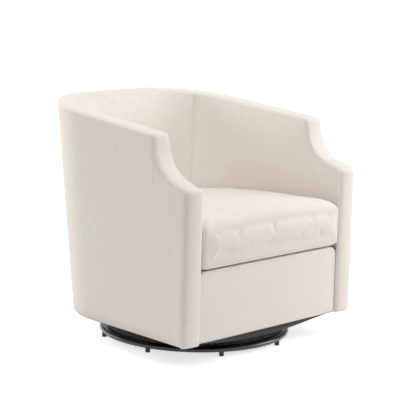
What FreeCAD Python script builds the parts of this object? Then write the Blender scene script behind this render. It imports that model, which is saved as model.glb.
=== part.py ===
import FreeCAD, Part

import math
import os
import Sketcher
from FreeCAD import Placement, Rotation, Vector

# Swivel barrel chair. Millimetres, +Z up, the chair faces -Y.
# The origin is on the floor under the middle of the chair's outline.

SIZES = (
    # upholstered barrel, seen from above
    ("chair_width", 774.7),
    ("chair_depth", 744.2),
    ("back_height", 749.3),
    ("hem_height", 77),
    ("mid_depth", 312),
    ("mid_width_top", 753),
    ("mid_width_bottom", 726),
    ("back_rake", 81),
    ("corner_radius_top", 255),
    ("corner_radius_bottom", 225),
    ("bow_radius_top", 1700),
    ("bow_radius_bottom", 1100),
    # S-shaped arm, seen from the side
    ("arm_front_height", 540),
    ("arm_slope_deg", 18),
    ("scoop_radius", 118),
    ("riser_slope_deg", 80),
    ("shoulder_height", 688),
    ("shoulder_setback", 145),
    ("edge_round", 14),
    ("strip_width", 64),
    ("strip_width_back", 46),
    ("strip_thickness", 8),
    # inside of the barrel
    ("seat_width", 559),
    ("seat_depth", 546),
    ("inner_front_width", 642),
    ("inner_corner_radius", 180),
    ("inner_bow_radius", 1000),
    ("inner_corner_radius_top", 205),
    ("inner_bow_radius_top", 1650),
    ("seat_line_height", 435),
    ("seam_angle_deg", 35),
    ("seam_run_deg", 43),
    # layers of the wall
    ("cover_thickness", 6),
    ("rib_depth", 33),
    ("soft_gap", 0.3),
    # cushion
    ("seat_height", 457),
    ("cushion_setback", 0.5),
    ("cushion_gap", 1.5),
    ("cushion_corner_radius", 29),
    ("cushion_crown", 20),
    ("crown_lead", 150),
    ("cushion_top_round", 27),
    ("cushion_bottom_round", 20),
    ("cushion_cover_thickness", 4),
    ("zipper_length", 300),
    ("zipper_width", 9),
    ("zipper_thickness", 1.2),
    ("zipper_height", 336),
    # front rail pad
    ("rail_height", 291),
    ("rail_setback", 4),
    ("rail_thickness", 25),
    ("rail_corner_radius", 24),
    ("rail_edge_round", 8),
    ("rail_gap", 1),
    # timber frame
    ("ply_thickness", 18),
    ("panel_depth", 212),
    ("seat_frame_height", 252),
    ("seat_opening_width", 500),
    ("base_opening_width", 460),
    ("base_opening_depth", 470),
    ("opening_setback", 78),
    ("front_board_thickness", 22),
    ("spring_seat_height", 285),
    ("spring_rail_front", 467),
    ("cross_board_width", 90),
    ("cross_board_spacing", 210),
    ("cross_board_thickness", 22),
    ("stile_width", 45),
    ("block_leg", 50),
    ("block_height", 90),
    ("strap_width", 50),
    ("strap_thickness", 2),
    ("strap_pitch", 100),
    ("lowest_strap_height", 350),
    # seat springs and deck
    ("spring_count", 5),
    ("spring_spacing", 96),
    ("spring_bar_width", 30),
    ("spring_bars", 13),
    ("wire_diameter", 3.6),
    ("clip_width", 16),
    ("clip_depth", 13),
    ("clip_thickness", 1.2),
    ("deck_thickness", 4.5),
    ("dust_cover_thickness", 1.5),
    ("dust_cover_inset", 8),
    # base
    ("swivel_setback", 324),
    ("ring_diameter", 610),
    ("tube_diameter", 16),
    ("ring_clearance", 12),
    ("glide_diameter", 15),
    ("glide_count", 8),
    ("first_glide_deg", 15.5),
    ("pan_sheet", 2),
    ("pan_drop", 1),
    ("pan_rim_drop", 9),
    ("pan_shoulder_width", 12),
    ("pan_round", 6),
    ("pedestal_diameter", 244),
    ("pedestal_wall", 10),
    # swivel bearing
    ("race_seat_height", 48),
    ("race_diameter", 236),
    ("race_bore", 160),
    ("race_thickness", 5),
    ("race_gap", 4),
    ("ball_diameter", 9.5),
    ("ball_pitch_diameter", 190),
    ("ball_count", 16),
    ("ball_clearance", 0.05),
    ("cage_width", 18),
    ("cage_thickness", 1.5),
    ("cage_clearance", 0.2),
    ("pivot_diameter", 12),
    ("pivot_head_flats", 19),
    ("pivot_head_height", 7),
    ("pivot_nut_height", 9),
    ("pivot_washer_diameter", 28),
    ("pivot_washer_thickness", 2),
    ("bush_wall", 3),
    ("bush_flange_thickness", 2),
    ("bush_drop", 1.5),
    ("running_gap", 0.1),
    ("bush_clearance", 0.05),
    ("swivel_plate_width", 270),
    ("swivel_plate_thickness", 2.5),
    ("mount_board_width", 300),
    ("mount_board_bore", 60),
    ("bolt_diameter", 8),
    ("bolt_clearance", 0.4),
    ("bolt_spacing", 210),
    ("bolt_head_diameter", 18),
    ("bolt_head_height", 4),
    ("nut_flats", 13),
    ("nut_height", 6.5),
    ("bolt_overhang", 2),
)

doc = FreeCAD.newDocument("SwivelBarrelChair")
sheet = doc.addObject("Spreadsheet::Sheet", "Sizes")
for row, (alias, value) in enumerate(SIZES, start=1):
    sheet.set("A%d" % row, alias.replace("_", " "))
    sheet.set("B%d" % row, str(value))
    sheet.setAlias("B%d" % row, alias)
doc.recompute()


def size(alias):
    return float(sheet.get(alias))


# Places worked out from the sizes

FRONT = -size("chair_depth") / 2
BACK = size("chair_depth") / 2
HEM = size("hem_height")
TOP = size("back_height")
SOFT = size("soft_gap")
PLY = size("ply_thickness")
MID = FRONT + size("mid_depth")
AXIS_Y = FRONT + size("swivel_setback")
BEYOND = size("strip_width")
REACH = size("chair_width") + size("chair_depth")

COVER = size("cover_thickness")
RIB_OUT = COVER + SOFT
RIB_IN = RIB_OUT + size("rib_depth")
STILE_IN = RIB_IN - size("strap_thickness") - SOFT
PAD_OUT = RIB_IN + 2 * SOFT
BAND_IN = size("strip_thickness") + SOFT
PANEL_BACK = FRONT + size("panel_depth")

SPRING_SEAT = size("spring_seat_height")
WIRE = size("wire_diameter")
WIRE_LOW = SPRING_SEAT + size("clip_thickness")
DECK_LOW = WIRE_LOW + WIRE + size("clip_thickness") + SOFT
DECK_TOP = DECK_LOW + size("deck_thickness")
CUSHION_LOW = DECK_TOP + SOFT
CUSHION_FRONT = FRONT + size("cushion_setback")
INNER_BACK = CUSHION_FRONT + size("seat_depth") + size("cushion_gap")
SEAT_FRAME_TOP = size("seat_frame_height") + PLY
RAIL_BACK = FRONT + size("rail_setback") + size("rail_thickness")
BOARD_FRONT = RAIL_BACK + SOFT
BOARD_BACK = BOARD_FRONT + size("front_board_thickness")

RING_LINE = (size("ring_diameter") - size("tube_diameter")) / 2
RING_HEIGHT = size("ring_clearance") + size("tube_diameter") / 2
PAN_TOP = size("ring_clearance") + size("tube_diameter") - size("pan_drop")
RACE_LOW = size("race_seat_height")
BALL_HEIGHT = RACE_LOW + size("race_thickness") + size("race_gap") / 2
UPPER_RACE_LOW = RACE_LOW + size("race_thickness") + size("race_gap")
PLATE_LOW = UPPER_RACE_LOW + size("race_thickness")
BOARD_LOW = PLATE_LOW + size("swivel_plate_thickness")


# Plane geometry

def unit(vector):
    return Vector(vector).normalize()


def meet(start, along, other, across):
    """Point where two lines of a plane cross."""
    gap = other - start
    turn = along.x * across.y - along.y * across.x
    reach = (gap.x * across.y - gap.y * across.x) / turn
    return start + along * reach


def rounded_loop(corners, radii, place):
    """Closed wire through corners, each corner rounded by its own radius."""
    starts = []
    ends = []
    arcs = []
    count = len(corners)
    for index, (corner, radius) in enumerate(zip(corners, radii)):
        back = unit(corners[index - 1] - corner)
        ahead = unit(corners[(index + 1) % count] - corner)
        if radius <= 0:
            starts.append(corner)
            ends.append(corner)
            arcs.append(None)
            continue
        half = back.getAngle(ahead) / 2
        middle = unit(back + ahead)
        reach = radius / math.tan(half)
        top = corner + middle * (radius / math.sin(half) - radius)
        starts.append(corner + back * reach)
        ends.append(corner + ahead * reach)
        arcs.append(top)
    edges = []
    for index in range(count):
        if arcs[index] is not None:
            arc = Part.Arc(place(starts[index]), place(arcs[index]), place(ends[index]))
            edges.append(arc.toShape())
        following = (index + 1) % count
        edges.append(Part.makeLine(place(ends[index]), place(starts[following])))
    return Part.Wire(edges)


def slab(low, high, x_low=-REACH, x_high=REACH, y_low=-REACH, y_high=REACH):
    """Block between two heights, wide enough to trim anything it meets."""
    corner = Vector(x_low, y_low, low)
    return Part.makeBox(x_high - x_low, y_high - y_low, high - low, corner)


# The barrel: a squarish U in plan, wider and further back at the top

def u_arcs(front_half, mid_half, corner, bow, back, inset):
    """Line start, arc ends and middles of one side of the U, drawn in by inset."""
    start = Vector(front_half, FRONT, 0)
    along = unit(Vector(mid_half, MID, 0) - start)
    inward = Vector(-along.y, along.x, 0)
    bow_centre = Vector(0, back - bow, 0)
    offset = start + inward * corner - bow_centre
    dot = offset.dot(along)
    reach = -dot + math.sqrt(dot * dot - offset.dot(offset) + (bow - corner) ** 2)
    centre = start + inward * corner + along * reach
    outward = unit(centre - bow_centre)
    corner_start = centre - inward * (corner - inset)
    corner_end = centre + outward * (corner - inset)
    corner_mid = centre + unit(outward - inward) * (corner - inset)
    line = start + inward * inset
    return line, along, corner_start, corner_mid, corner_end, centre


def u_wire(height, front_half, mid_half, corner, bow, back, inset, front):
    """Closed U outline at one height: front line, sides, corner arcs and bowed back."""
    line, along, first, middle, last, _ = u_arcs(front_half, mid_half, corner, bow, back, inset)
    nose = line + along * ((front - line.y) / along.y)
    rear = Vector(0, back - inset, 0)

    def right(point):
        return Vector(point.x, point.y, height)

    def left(point):
        return Vector(-point.x, point.y, height)

    edges = [
        Part.makeLine(left(nose), right(nose)),
        Part.makeLine(right(nose), right(first)),
        Part.Arc(right(first), right(middle), right(last)).toShape(),
        Part.Arc(right(last), right(rear), left(last)).toShape(),
        Part.Arc(left(last), left(middle), left(first)).toShape(),
        Part.makeLine(left(first), left(nose)),
    ]
    return Part.Wire(edges)


OUTER_LOW = (
    size("chair_width") / 2,
    size("mid_width_bottom") / 2,
    size("corner_radius_bottom"),
    size("bow_radius_bottom"),
    BACK - size("back_rake"),
)
OUTER_TOP = (
    size("chair_width") / 2,
    size("mid_width_top") / 2,
    size("corner_radius_top"),
    size("bow_radius_top"),
    BACK,
)
INNER_SEAT = (
    size("inner_front_width") / 2,
    size("seat_width") / 2,
    size("inner_corner_radius"),
    size("inner_bow_radius"),
    INNER_BACK,
)
INNER_TOP = (
    size("chair_width") / 2 - size("strip_width"),
    size("mid_width_top") / 2 - size("strip_width"),
    size("inner_corner_radius_top"),
    size("inner_bow_radius_top"),
    BACK - size("strip_width_back"),
)


def barrel(inset, front=FRONT):
    """Solid inside the outer surface, drawn in by inset."""
    low = u_wire(HEM, *OUTER_LOW, inset, front)
    top = u_wire(TOP, *OUTER_TOP, inset, front)
    return Part.makeLoft([low, top], True, True)


def cavity(bottom, growth=0.0):
    """Sitting space: straight up to the seat line, then leaning back to the top strip."""
    front = FRONT - BEYOND
    low = u_wire(bottom, *INNER_SEAT, -growth, front)
    seat = u_wire(size("seat_line_height"), *INNER_SEAT, -growth, front)
    top = u_wire(TOP, *INNER_TOP, -growth, front)
    lower = Part.makeLoft([low, seat], True, True)
    upper = Part.makeLoft([seat, top], True, True)
    return lower.fuse(upper)


def side_profile(drop, bottom, rear):
    """Prism under the side view of the arms and back, drop inside the seam line."""
    slope = math.radians(size("arm_slope_deg"))
    riser = math.radians(size("riser_slope_deg"))
    arm_corner = Vector(FRONT, size("arm_front_height"), 0)
    shoulder = Vector(FRONT + size("shoulder_setback"), size("shoulder_height"), 0)
    rise = TOP - shoulder.y
    run = BACK - shoulder.x
    lines = [
        (Vector(FRONT, bottom, 0), Vector(0, 1, 0)),
        (arm_corner, Vector(math.cos(slope), math.sin(slope), 0)),
        (shoulder, Vector(math.cos(riser), math.sin(riser), 0)),
        (shoulder, unit(Vector(run, rise, 0))),
    ]
    shifted = []
    for point, along in lines:
        inward = Vector(along.y, -along.x, 0)
        shifted.append((point + inward * drop, along))
    shifted.append((Vector(rear, bottom, 0), Vector(0, 1, 0)))
    corners = [Vector(shifted[0][0].x, bottom, 0)]
    for first, second in zip(shifted, shifted[1:]):
        corners.append(meet(first[0], first[1], second[0], second[1]))
    corners.append(Vector(rear, bottom, 0))
    edge = max(size("edge_round") - drop, 0.0)
    radii = [0, edge, size("scoop_radius") + drop, edge, 0, 0]
    side = -size("chair_width")

    def place(point):
        return Vector(side, point.x, point.y)

    face = Part.Face(rounded_loop(corners, radii, place))
    return face.extrude(Vector(-2 * side, 0, 0))


def zone(outer_inset, inner_inset):
    """Layer of the wall between two insets, open at the front."""
    return barrel(outer_inset).cut(barrel(inner_inset, FRONT - BEYOND))


UNDER_BAND = side_profile(BAND_IN, HEM - BEYOND, BACK + BEYOND)
UNDER_RIB = side_profile(BAND_IN + PLY, HEM - BEYOND, BACK + BEYOND)
SITTING_SPACE = cavity(HEM - BEYOND)


# Document objects

def sub_part(name, shape, place=None):
    item = doc.addObject("Part::Feature", name)
    item.Label = name
    item.Shape = shape
    if place is not None:
        item.Placement = place
    return item


def group_of(solids):
    return Part.makeCompound(solids)


def single(shape):
    """The one solid of a boolean's result."""
    return shape.removeSplitter().Solids[0]


def mirrored(shape):
    return shape.mirror(Vector(0, 0, 0), Vector(1, 0, 0))


def new_body(name, height=0.0, y=0.0):
    body = doc.addObject("PartDesign::Body", name)
    body.Label = name
    body.Placement = Placement(Vector(0, y, height), Rotation())
    return body


def new_sketch(body, role, name="profile"):
    sketch = body.newObject("Sketcher::SketchObject", body.Name + "_" + name)
    planes = [item for item in body.Origin.OriginFeatures if item.Role == role]
    sketch.AttachmentSupport = (planes[0], [""])
    sketch.MapMode = "FlatFace"
    return sketch


def bind(sketch, rule, words):
    index = sketch.addConstraint(rule)
    sketch.setExpression("Constraints[%d]" % index, words)


def add_circle(sketch, radius, bound, spot=None, spot_bounds=None):
    """Circle bound to the sheet, at the origin or at a bound spot."""
    x, y = spot if spot else (0.0, 0.0)
    index = sketch.addGeometry(Part.Circle(Vector(x, y, 0), Vector(0, 0, 1), radius), False)
    bind(sketch, Sketcher.Constraint("Radius", index, radius), bound)
    if spot is None:
        sketch.addConstraint(Sketcher.Constraint("Coincident", index, 3, -1, 1))
        return
    for kind, value, words in zip(("DistanceX", "DistanceY"), spot, spot_bounds):
        bind(sketch, Sketcher.Constraint(kind, -1, 1, index, 3, value), words)


def add_loop(sketch, corners, bounds):
    """Closed polygon whose corners are held by distances bound to the sheet."""
    count = len(corners)
    for index in range(count):
        start = Vector(*corners[index], 0)
        end = Vector(*corners[(index + 1) % count], 0)
        sketch.addGeometry(Part.LineSegment(start, end), False)
    for index in range(count):
        following = (index + 1) % count
        sketch.addConstraint(Sketcher.Constraint("Coincident", index, 2, following, 1))
    for index, (corner, words) in enumerate(zip(corners, bounds)):
        bind(sketch, Sketcher.Constraint("DistanceX", -1, 1, index, 1, corner[0]), words[0])
        bind(sketch, Sketcher.Constraint("DistanceY", -1, 1, index, 1, corner[1]), words[1])


def add_square(sketch, width, bound):
    """Square round the origin, its width bound to the sheet."""
    half = width / 2
    spots = [(-half, -half), (half, -half), (half, half), (-half, half)]
    for index in range(4):
        start = Vector(*spots[index], 0)
        end = Vector(*spots[(index + 1) % 4], 0)
        sketch.addGeometry(Part.LineSegment(start, end), False)
    for index in range(4):
        sketch.addConstraint(Sketcher.Constraint("Coincident", index, 2, (index + 1) % 4, 1))
    for index, kind in enumerate(("Horizontal", "Vertical", "Horizontal", "Vertical")):
        sketch.addConstraint(Sketcher.Constraint(kind, index))
    sketch.addConstraint(Sketcher.Constraint("Symmetric", 0, 1, 2, 1, -1, 1))
    bind(sketch, Sketcher.Constraint("DistanceX", 0, 1, 0, 2, width), bound)
    bind(sketch, Sketcher.Constraint("DistanceY", 1, 1, 1, 2, width), bound)


def pad_of(body, sketch, length, bound):
    pad = body.newObject("PartDesign::Pad", body.Name + "_pad")
    pad.Profile = sketch
    pad.Length = length
    pad.setExpression("Length", bound)
    return pad


def turned(body, corners, bounds):
    """Revolution of a bound profile about the body's own Z axis."""
    sketch = new_sketch(body, "XZ_Plane")
    add_loop(sketch, corners, bounds)
    turn = body.newObject("PartDesign::Revolution", body.Name + "_turn")
    turn.Profile = sketch
    turn.ReferenceAxis = (sketch, ["V_Axis"])
    turn.Angle = 360
    return turn


def through_holes(body, radius, bound, spot, spot_bounds, count):
    """Round holes through a padded plate, repeated about its middle."""
    doc.recompute()
    sketch = new_sketch(body, "XY_Plane", "hole")
    add_circle(sketch, radius, bound, spot, spot_bounds)
    pocket = body.newObject("PartDesign::Pocket", body.Name + "_pocket")
    pocket.Profile = sketch
    pocket.Type = "ThroughAll"
    pocket.Midplane = True
    doc.recompute()
    axes = [item for item in body.Origin.OriginFeatures if item.Role == "Z_Axis"]
    pattern = body.newObject("PartDesign::PolarPattern", body.Name + "_pattern")
    pattern.Originals = [pocket]
    pattern.Axis = (axes[0], [""])
    pattern.Angle = 360
    pattern.Occurrences = count
    body.Tip = pattern
    return pattern


def ring_plate(name, outer, outer_bound, inner, inner_bound, height, bound, low):
    """Flat ring padded from two circles."""
    body = new_body(name, low, AXIS_Y)
    sketch = new_sketch(body, "XY_Plane")
    add_circle(sketch, outer, outer_bound)
    add_circle(sketch, inner, inner_bound)
    pad_of(body, sketch, height, bound)
    return body


# Base: steel ring, glides and pressed pan

ring = doc.addObject("Part::Torus", "base_ring")
ring.Label = "base_ring"
ring.setExpression("Radius1", "(Sizes.ring_diameter - Sizes.tube_diameter) / 2")
ring.setExpression("Radius2", "Sizes.tube_diameter / 2")
ring.setExpression("Placement.Base.y", "-Sizes.chair_depth / 2 + Sizes.swivel_setback")
ring.setExpression("Placement.Base.z", "Sizes.ring_clearance + Sizes.tube_diameter / 2")
doc.recompute()

GLIDE_TOP = RING_HEIGHT - size("tube_diameter") / 5
glides = []
for index in range(int(size("glide_count"))):
    turn = math.radians(size("first_glide_deg") + 360 * index / size("glide_count"))
    spot = Vector(RING_LINE * math.cos(turn), AXIS_Y + RING_LINE * math.sin(turn), 0)
    foot = Part.makeCylinder(size("glide_diameter") / 2, GLIDE_TOP, spot)
    foot = foot.makeChamfer(1.0, [foot.Edges[2]])
    glides.append(single(foot.cut(ring.Shape)))
sub_part("glides", group_of(glides))

# the pan's rim is turned down and meets the inside of the ring
pan_outer = RING_LINE - size("tube_diameter") / 2 - SOFT / 2
pan_sheet = size("pan_sheet")
pan_low = PAN_TOP - size("pan_rim_drop")
pan_bend = pan_outer - size("pan_shoulder_width")
pan_corners = [
    Vector(0, PAN_TOP - pan_sheet, 0),
    Vector(pan_bend - pan_sheet / 2, PAN_TOP - pan_sheet, 0),
    Vector(pan_outer - pan_sheet, pan_low + pan_sheet, 0),
    Vector(pan_outer - pan_sheet, pan_low, 0),
    Vector(pan_outer, pan_low, 0),
    Vector(pan_outer, pan_low + 2 * pan_sheet, 0),
    Vector(pan_bend, PAN_TOP, 0),
    Vector(0, PAN_TOP, 0),
]
pan_round = size("pan_round")
pan_radii = [0, pan_round, 0, 0, 0, 0, pan_round + pan_sheet, 0]


def upright(point):
    return Vector(point.x, 0, point.y)


pan_face = Part.Face(rounded_loop(pan_corners, pan_radii, upright))
pan = pan_face.revolve(Vector(0, 0, 0), Vector(0, 0, 1), 360)
sub_part("base_pan", pan, Placement(Vector(0, AXIS_Y, 0), Rotation()))

ring_plate(
    "pedestal",
    size("pedestal_diameter") / 2,
    "Sizes.pedestal_diameter / 2",
    size("pedestal_diameter") / 2 - size("pedestal_wall"),
    "Sizes.pedestal_diameter / 2 - Sizes.pedestal_wall",
    RACE_LOW - PAN_TOP,
    "Sizes.race_seat_height - Sizes.ring_clearance - Sizes.tube_diameter + Sizes.pan_drop",
    PAN_TOP,
)

# Swivel bearing: two grooved races, balls in a cage, and the pivot that ties them

groove = Part.makeTorus(
    size("ball_pitch_diameter") / 2,
    size("ball_diameter") / 2 + size("ball_clearance"),
    Vector(0, 0, BALL_HEIGHT),
)
races = (
    ("lower_race", size("pivot_diameter") / 2, RACE_LOW),
    ("upper_race", size("race_bore") / 2, UPPER_RACE_LOW),
)
for name, bore, low in races:
    disc = Part.makeCylinder(size("race_diameter") / 2, size("race_thickness"), Vector(0, 0, low))
    bore_low = Vector(0, 0, low - size("race_thickness"))
    disc = disc.cut(Part.makeCylinder(bore, 3 * size("race_thickness"), bore_low))
    sub_part(name, single(disc.cut(groove)), Placement(Vector(0, AXIS_Y, 0), Rotation()))

balls = []
ball_spots = []
for index in range(int(size("ball_count"))):
    turn = 2 * math.pi * index / size("ball_count")
    reach = size("ball_pitch_diameter") / 2
    ball_spots.append(Vector(reach * math.cos(turn), reach * math.sin(turn), BALL_HEIGHT))
    balls.append(Part.makeSphere(size("ball_diameter") / 2, ball_spots[-1]))
sub_part("bearing_balls", group_of(balls), Placement(Vector(0, AXIS_Y, 0), Rotation()))

cage = ring_plate(
    "ball_cage",
    (size("ball_pitch_diameter") + size("cage_width")) / 2,
    "(Sizes.ball_pitch_diameter + Sizes.cage_width) / 2",
    (size("ball_pitch_diameter") - size("cage_width")) / 2,
    "(Sizes.ball_pitch_diameter - Sizes.cage_width) / 2",
    size("cage_thickness"),
    "Sizes.cage_thickness",
    BALL_HEIGHT - size("cage_thickness") / 2,
)
through_holes(
    cage,
    size("ball_diameter") / 2 + size("cage_clearance"),
    "Sizes.ball_diameter / 2 + Sizes.cage_clearance",
    (size("ball_pitch_diameter") / 2, 0.0),
    ("Sizes.ball_pitch_diameter / 2", "0 mm"),
    int(size("ball_count")),
)

PIVOT = size("pivot_diameter") / 2
BUSH_TOP = BOARD_LOW + size("bush_flange_thickness")
WASHER_LOW = BUSH_TOP + size("running_gap")
NUT_LOW = WASHER_LOW + size("pivot_washer_thickness")
NUT_TOP = NUT_LOW + size("pivot_nut_height")


def hex_prism(flats, low, height, x=0.0, y=0.0):
    """Hexagon bar with its flats across Y."""
    reach = flats / math.sqrt(3)
    spots = []
    for index in range(7):
        turn = math.radians(60 * index)
        spots.append(Vector(x + reach * math.cos(turn), y + reach * math.sin(turn), low))
    return Part.Face(Part.makePolygon(spots)).extrude(Vector(0, 0, height))


head_height = size("pivot_head_height")
head = hex_prism(size("pivot_head_flats"), RACE_LOW - head_height, head_height)
shank = Part.makeCylinder(PIVOT, NUT_TOP + size("bolt_overhang") - RACE_LOW, Vector(0, 0, RACE_LOW))
at_axis = Placement(Vector(0, AXIS_Y, 0), Rotation())
sub_part("pivot_bolt", single(head.fuse(shank)), at_axis)

nut = hex_prism(size("pivot_head_flats"), NUT_LOW, size("pivot_nut_height"))
nut_bore_low = Vector(0, 0, NUT_LOW - size("bolt_overhang"))
nut_bore = Part.makeCylinder(PIVOT, 2 * size("pivot_nut_height"), nut_bore_low)
sub_part("pivot_nut", single(nut.cut(nut_bore)), at_axis)

ring_plate(
    "thrust_washer",
    size("pivot_washer_diameter") / 2,
    "Sizes.pivot_washer_diameter / 2",
    PIVOT + size("running_gap"),
    "Sizes.pivot_diameter / 2 + Sizes.running_gap",
    size("pivot_washer_thickness"),
    "Sizes.pivot_washer_thickness",
    WASHER_LOW,
)

bush_bore = PIVOT + size("bush_clearance")
bush_outer = bush_bore + size("bush_wall")
bush_reach = size("swivel_plate_thickness") + size("bush_drop")
bush = new_body("pivot_bush", PLATE_LOW - size("bush_drop"), AXIS_Y)
bush_height = bush_reach + size("bush_flange_thickness")
BORE_WORDS = "Sizes.pivot_diameter / 2 + Sizes.bush_clearance"
WALL_WORDS = BORE_WORDS + " + Sizes.bush_wall"
REACH_WORDS = "Sizes.swivel_plate_thickness + Sizes.bush_drop"
turned(
    bush,
    [
        (bush_bore, 0),
        (bush_outer, 0),
        (bush_outer, bush_reach),
        (size("pivot_washer_diameter") / 2, bush_reach),
        (size("pivot_washer_diameter") / 2, bush_height),
        (bush_bore, bush_height),
    ],
    [
        (BORE_WORDS, "0 mm"),
        (WALL_WORDS, "0 mm"),
        (WALL_WORDS, REACH_WORDS),
        ("Sizes.pivot_washer_diameter / 2", REACH_WORDS),
        ("Sizes.pivot_washer_diameter / 2", REACH_WORDS + " + Sizes.bush_flange_thickness"),
        (BORE_WORDS, REACH_WORDS + " + Sizes.bush_flange_thickness"),
    ],
)

# Plates that turn with the chair

BOLT = size("bolt_diameter") / 2
BOLT_HOLE = BOLT + size("bolt_clearance") / 2
HOLE_WORDS = "(Sizes.bolt_diameter + Sizes.bolt_clearance) / 2"
bolt_half = size("bolt_spacing") / 2
boards = (
    (
        "swivel_plate",
        "swivel_plate_width",
        "swivel_plate_thickness",
        PLATE_LOW,
        bush_outer,
        WALL_WORDS,
    ),
    (
        "mount_board",
        "mount_board_width",
        None,
        BOARD_LOW,
        size("mount_board_bore") / 2,
        "Sizes.mount_board_bore / 2",
    ),
)
BOARD_WORDS = (
    "Sizes.hem_height - Sizes.race_seat_height - 2 * Sizes.race_thickness"
    " - Sizes.race_gap - Sizes.swivel_plate_thickness"
)
for name, width, thickness, low, bore, bore_words in boards:
    body = new_body(name, low, AXIS_Y)
    sketch = new_sketch(body, "XY_Plane")
    add_square(sketch, size(width), "Sizes." + width)
    add_circle(sketch, bore, bore_words)
    if thickness:
        pad_of(body, sketch, size(thickness), "Sizes." + thickness)
    else:
        pad_of(body, sketch, HEM - BOARD_LOW, BOARD_WORDS)
    through_holes(
        body,
        BOLT_HOLE,
        HOLE_WORDS,
        (bolt_half, bolt_half),
        ("Sizes.bolt_spacing / 2", "Sizes.bolt_spacing / 2"),
        4,
    )

# Timber frame: arm panels, two plywood plates, ribs and stiles

arm_zone = zone(RIB_OUT, RIB_OUT + PLY).common(UNDER_BAND)
arm_panel = single(arm_zone.common(slab(HEM, TOP, 0, REACH, FRONT + BAND_IN, PANEL_BACK)))
sub_part("arm_panel_right", arm_panel)
sub_part("arm_panel_left", mirrored(arm_panel))
PANELS = [arm_panel, mirrored(arm_panel)]

base_opening = slab(
    HEM - PLY,
    HEM + 2 * PLY,
    -size("base_opening_width") / 2,
    size("base_opening_width") / 2,
    FRONT + size("opening_setback"),
    FRONT + size("opening_setback") + size("base_opening_depth"),
)
bottom = barrel(RIB_OUT, BOARD_FRONT).common(slab(HEM, HEM + PLY))
bottom = bottom.cut(base_opening).cut(PANELS)
sub_part("bottom_frame", single(bottom))

seat_low = size("seat_frame_height")
seat_opening = slab(
    seat_low - PLY,
    SEAT_FRAME_TOP + PLY,
    -size("seat_opening_width") / 2,
    size("seat_opening_width") / 2,
    FRONT + size("opening_setback"),
    FRONT + size("spring_rail_front"),
)
seat = barrel(RIB_OUT, BOARD_BACK).common(slab(seat_low, SEAT_FRAME_TOP))
seat = seat.cut(seat_opening).cut(PANELS)
sub_part("seat_frame", single(seat))

# the board's ends stop at the inner faces of the arm panels
board = slab(HEM + PLY, SPRING_SEAT, y_low=BOARD_FRONT, y_high=BOARD_BACK)
board = board.common(barrel(RIB_OUT + PLY / 2)).cut(PANELS)
sub_part("front_rail_board", single(board))

crescent = cavity(HEM, -SOFT).common(slab(SEAT_FRAME_TOP, SPRING_SEAT))
crescent = crescent.common(slab(HEM, TOP, y_low=FRONT + size("spring_rail_front")))
sub_part("rear_spring_rail", single(crescent))

rib_zone = zone(RIB_OUT, RIB_IN)
behind_panels = slab(HEM, TOP, y_low=PANEL_BACK)
top_rib = rib_zone.common(UNDER_BAND).cut(UNDER_RIB).common(behind_panels)
sub_part("top_rib", single(top_rib))

STILE_TURNS = (-8.0, 38.0, 74.0)
stile_zone = zone(RIB_OUT, STILE_IN)
lower_stiles = []
upper_stiles = []
for turn in STILE_TURNS:
    column = slab(HEM, TOP, 0, REACH, -size("stile_width") / 2, size("stile_width") / 2)
    column.rotate(Vector(0, 0, 0), Vector(0, 0, 1), turn)
    stile = stile_zone.common(column)
    lower = single(stile.common(slab(HEM + PLY, seat_low)))
    upper = single(stile.common(slab(SEAT_FRAME_TOP, TOP)).common(UNDER_RIB))
    lower_stiles += [lower, mirrored(lower)]
    upper_stiles += [upper, mirrored(upper)]
sub_part("lower_stiles", group_of(lower_stiles))
sub_part("upper_stiles", group_of(upper_stiles))

strap_zone = zone(STILE_IN + SOFT, STILE_IN + SOFT + size("strap_thickness"))
strap_front = -size("stile_width") * 2
straps = []
for index in range(3):
    low = size("lowest_strap_height") + index * size("strap_pitch")
    strap = strap_zone.common(slab(low, low + size("strap_width"), y_low=strap_front))
    straps.append(single(strap))
sub_part("back_webbing", group_of(straps))

# corner blocks glued behind the front rail board
leg = size("block_leg")
wall_half = size("chair_width") / 2 - RIB_OUT
block_low = (HEM + PLY + seat_low) / 2 - size("block_height") / 2
blocks = []
for side in (1, -1):
    outer = side * (wall_half + PLY / 2)
    inner = side * (wall_half - PLY - leg)
    corners = [
        Vector(outer, BOARD_BACK, block_low),
        Vector(inner, BOARD_BACK, block_low),
        Vector(outer, BOARD_BACK + leg + PLY, block_low),
        Vector(outer, BOARD_BACK, block_low),
    ]
    block = Part.Face(Part.makePolygon(corners)).extrude(Vector(0, 0, size("block_height")))
    block = block.common(barrel(RIB_OUT + PLY, FRONT - BEYOND))
    blocks.append(single(block))
sub_part("corner_blocks", group_of(blocks))

# cross boards lie in the opening of the bottom frame, over the mount board
board_reach = size("cross_board_spacing") / 2
cross_top = HEM + size("cross_board_thickness")
cross_boards = {}
for side, name in ((1, "cross_board_right"), (-1, "cross_board_left")):
    middle = side * board_reach
    half = size("cross_board_width") / 2
    plank = slab(
        HEM,
        cross_top,
        middle - half,
        middle + half,
        FRONT + size("opening_setback"),
        FRONT + size("opening_setback") + size("base_opening_depth"),
    )
    for row_side in (1, -1):
        spot = Vector(side * bolt_half, AXIS_Y + row_side * bolt_half, HEM - PLY)
        plank = plank.cut(Part.makeCylinder(BOLT_HOLE, 4 * PLY, spot))
    sub_part(name, single(plank))

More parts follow.
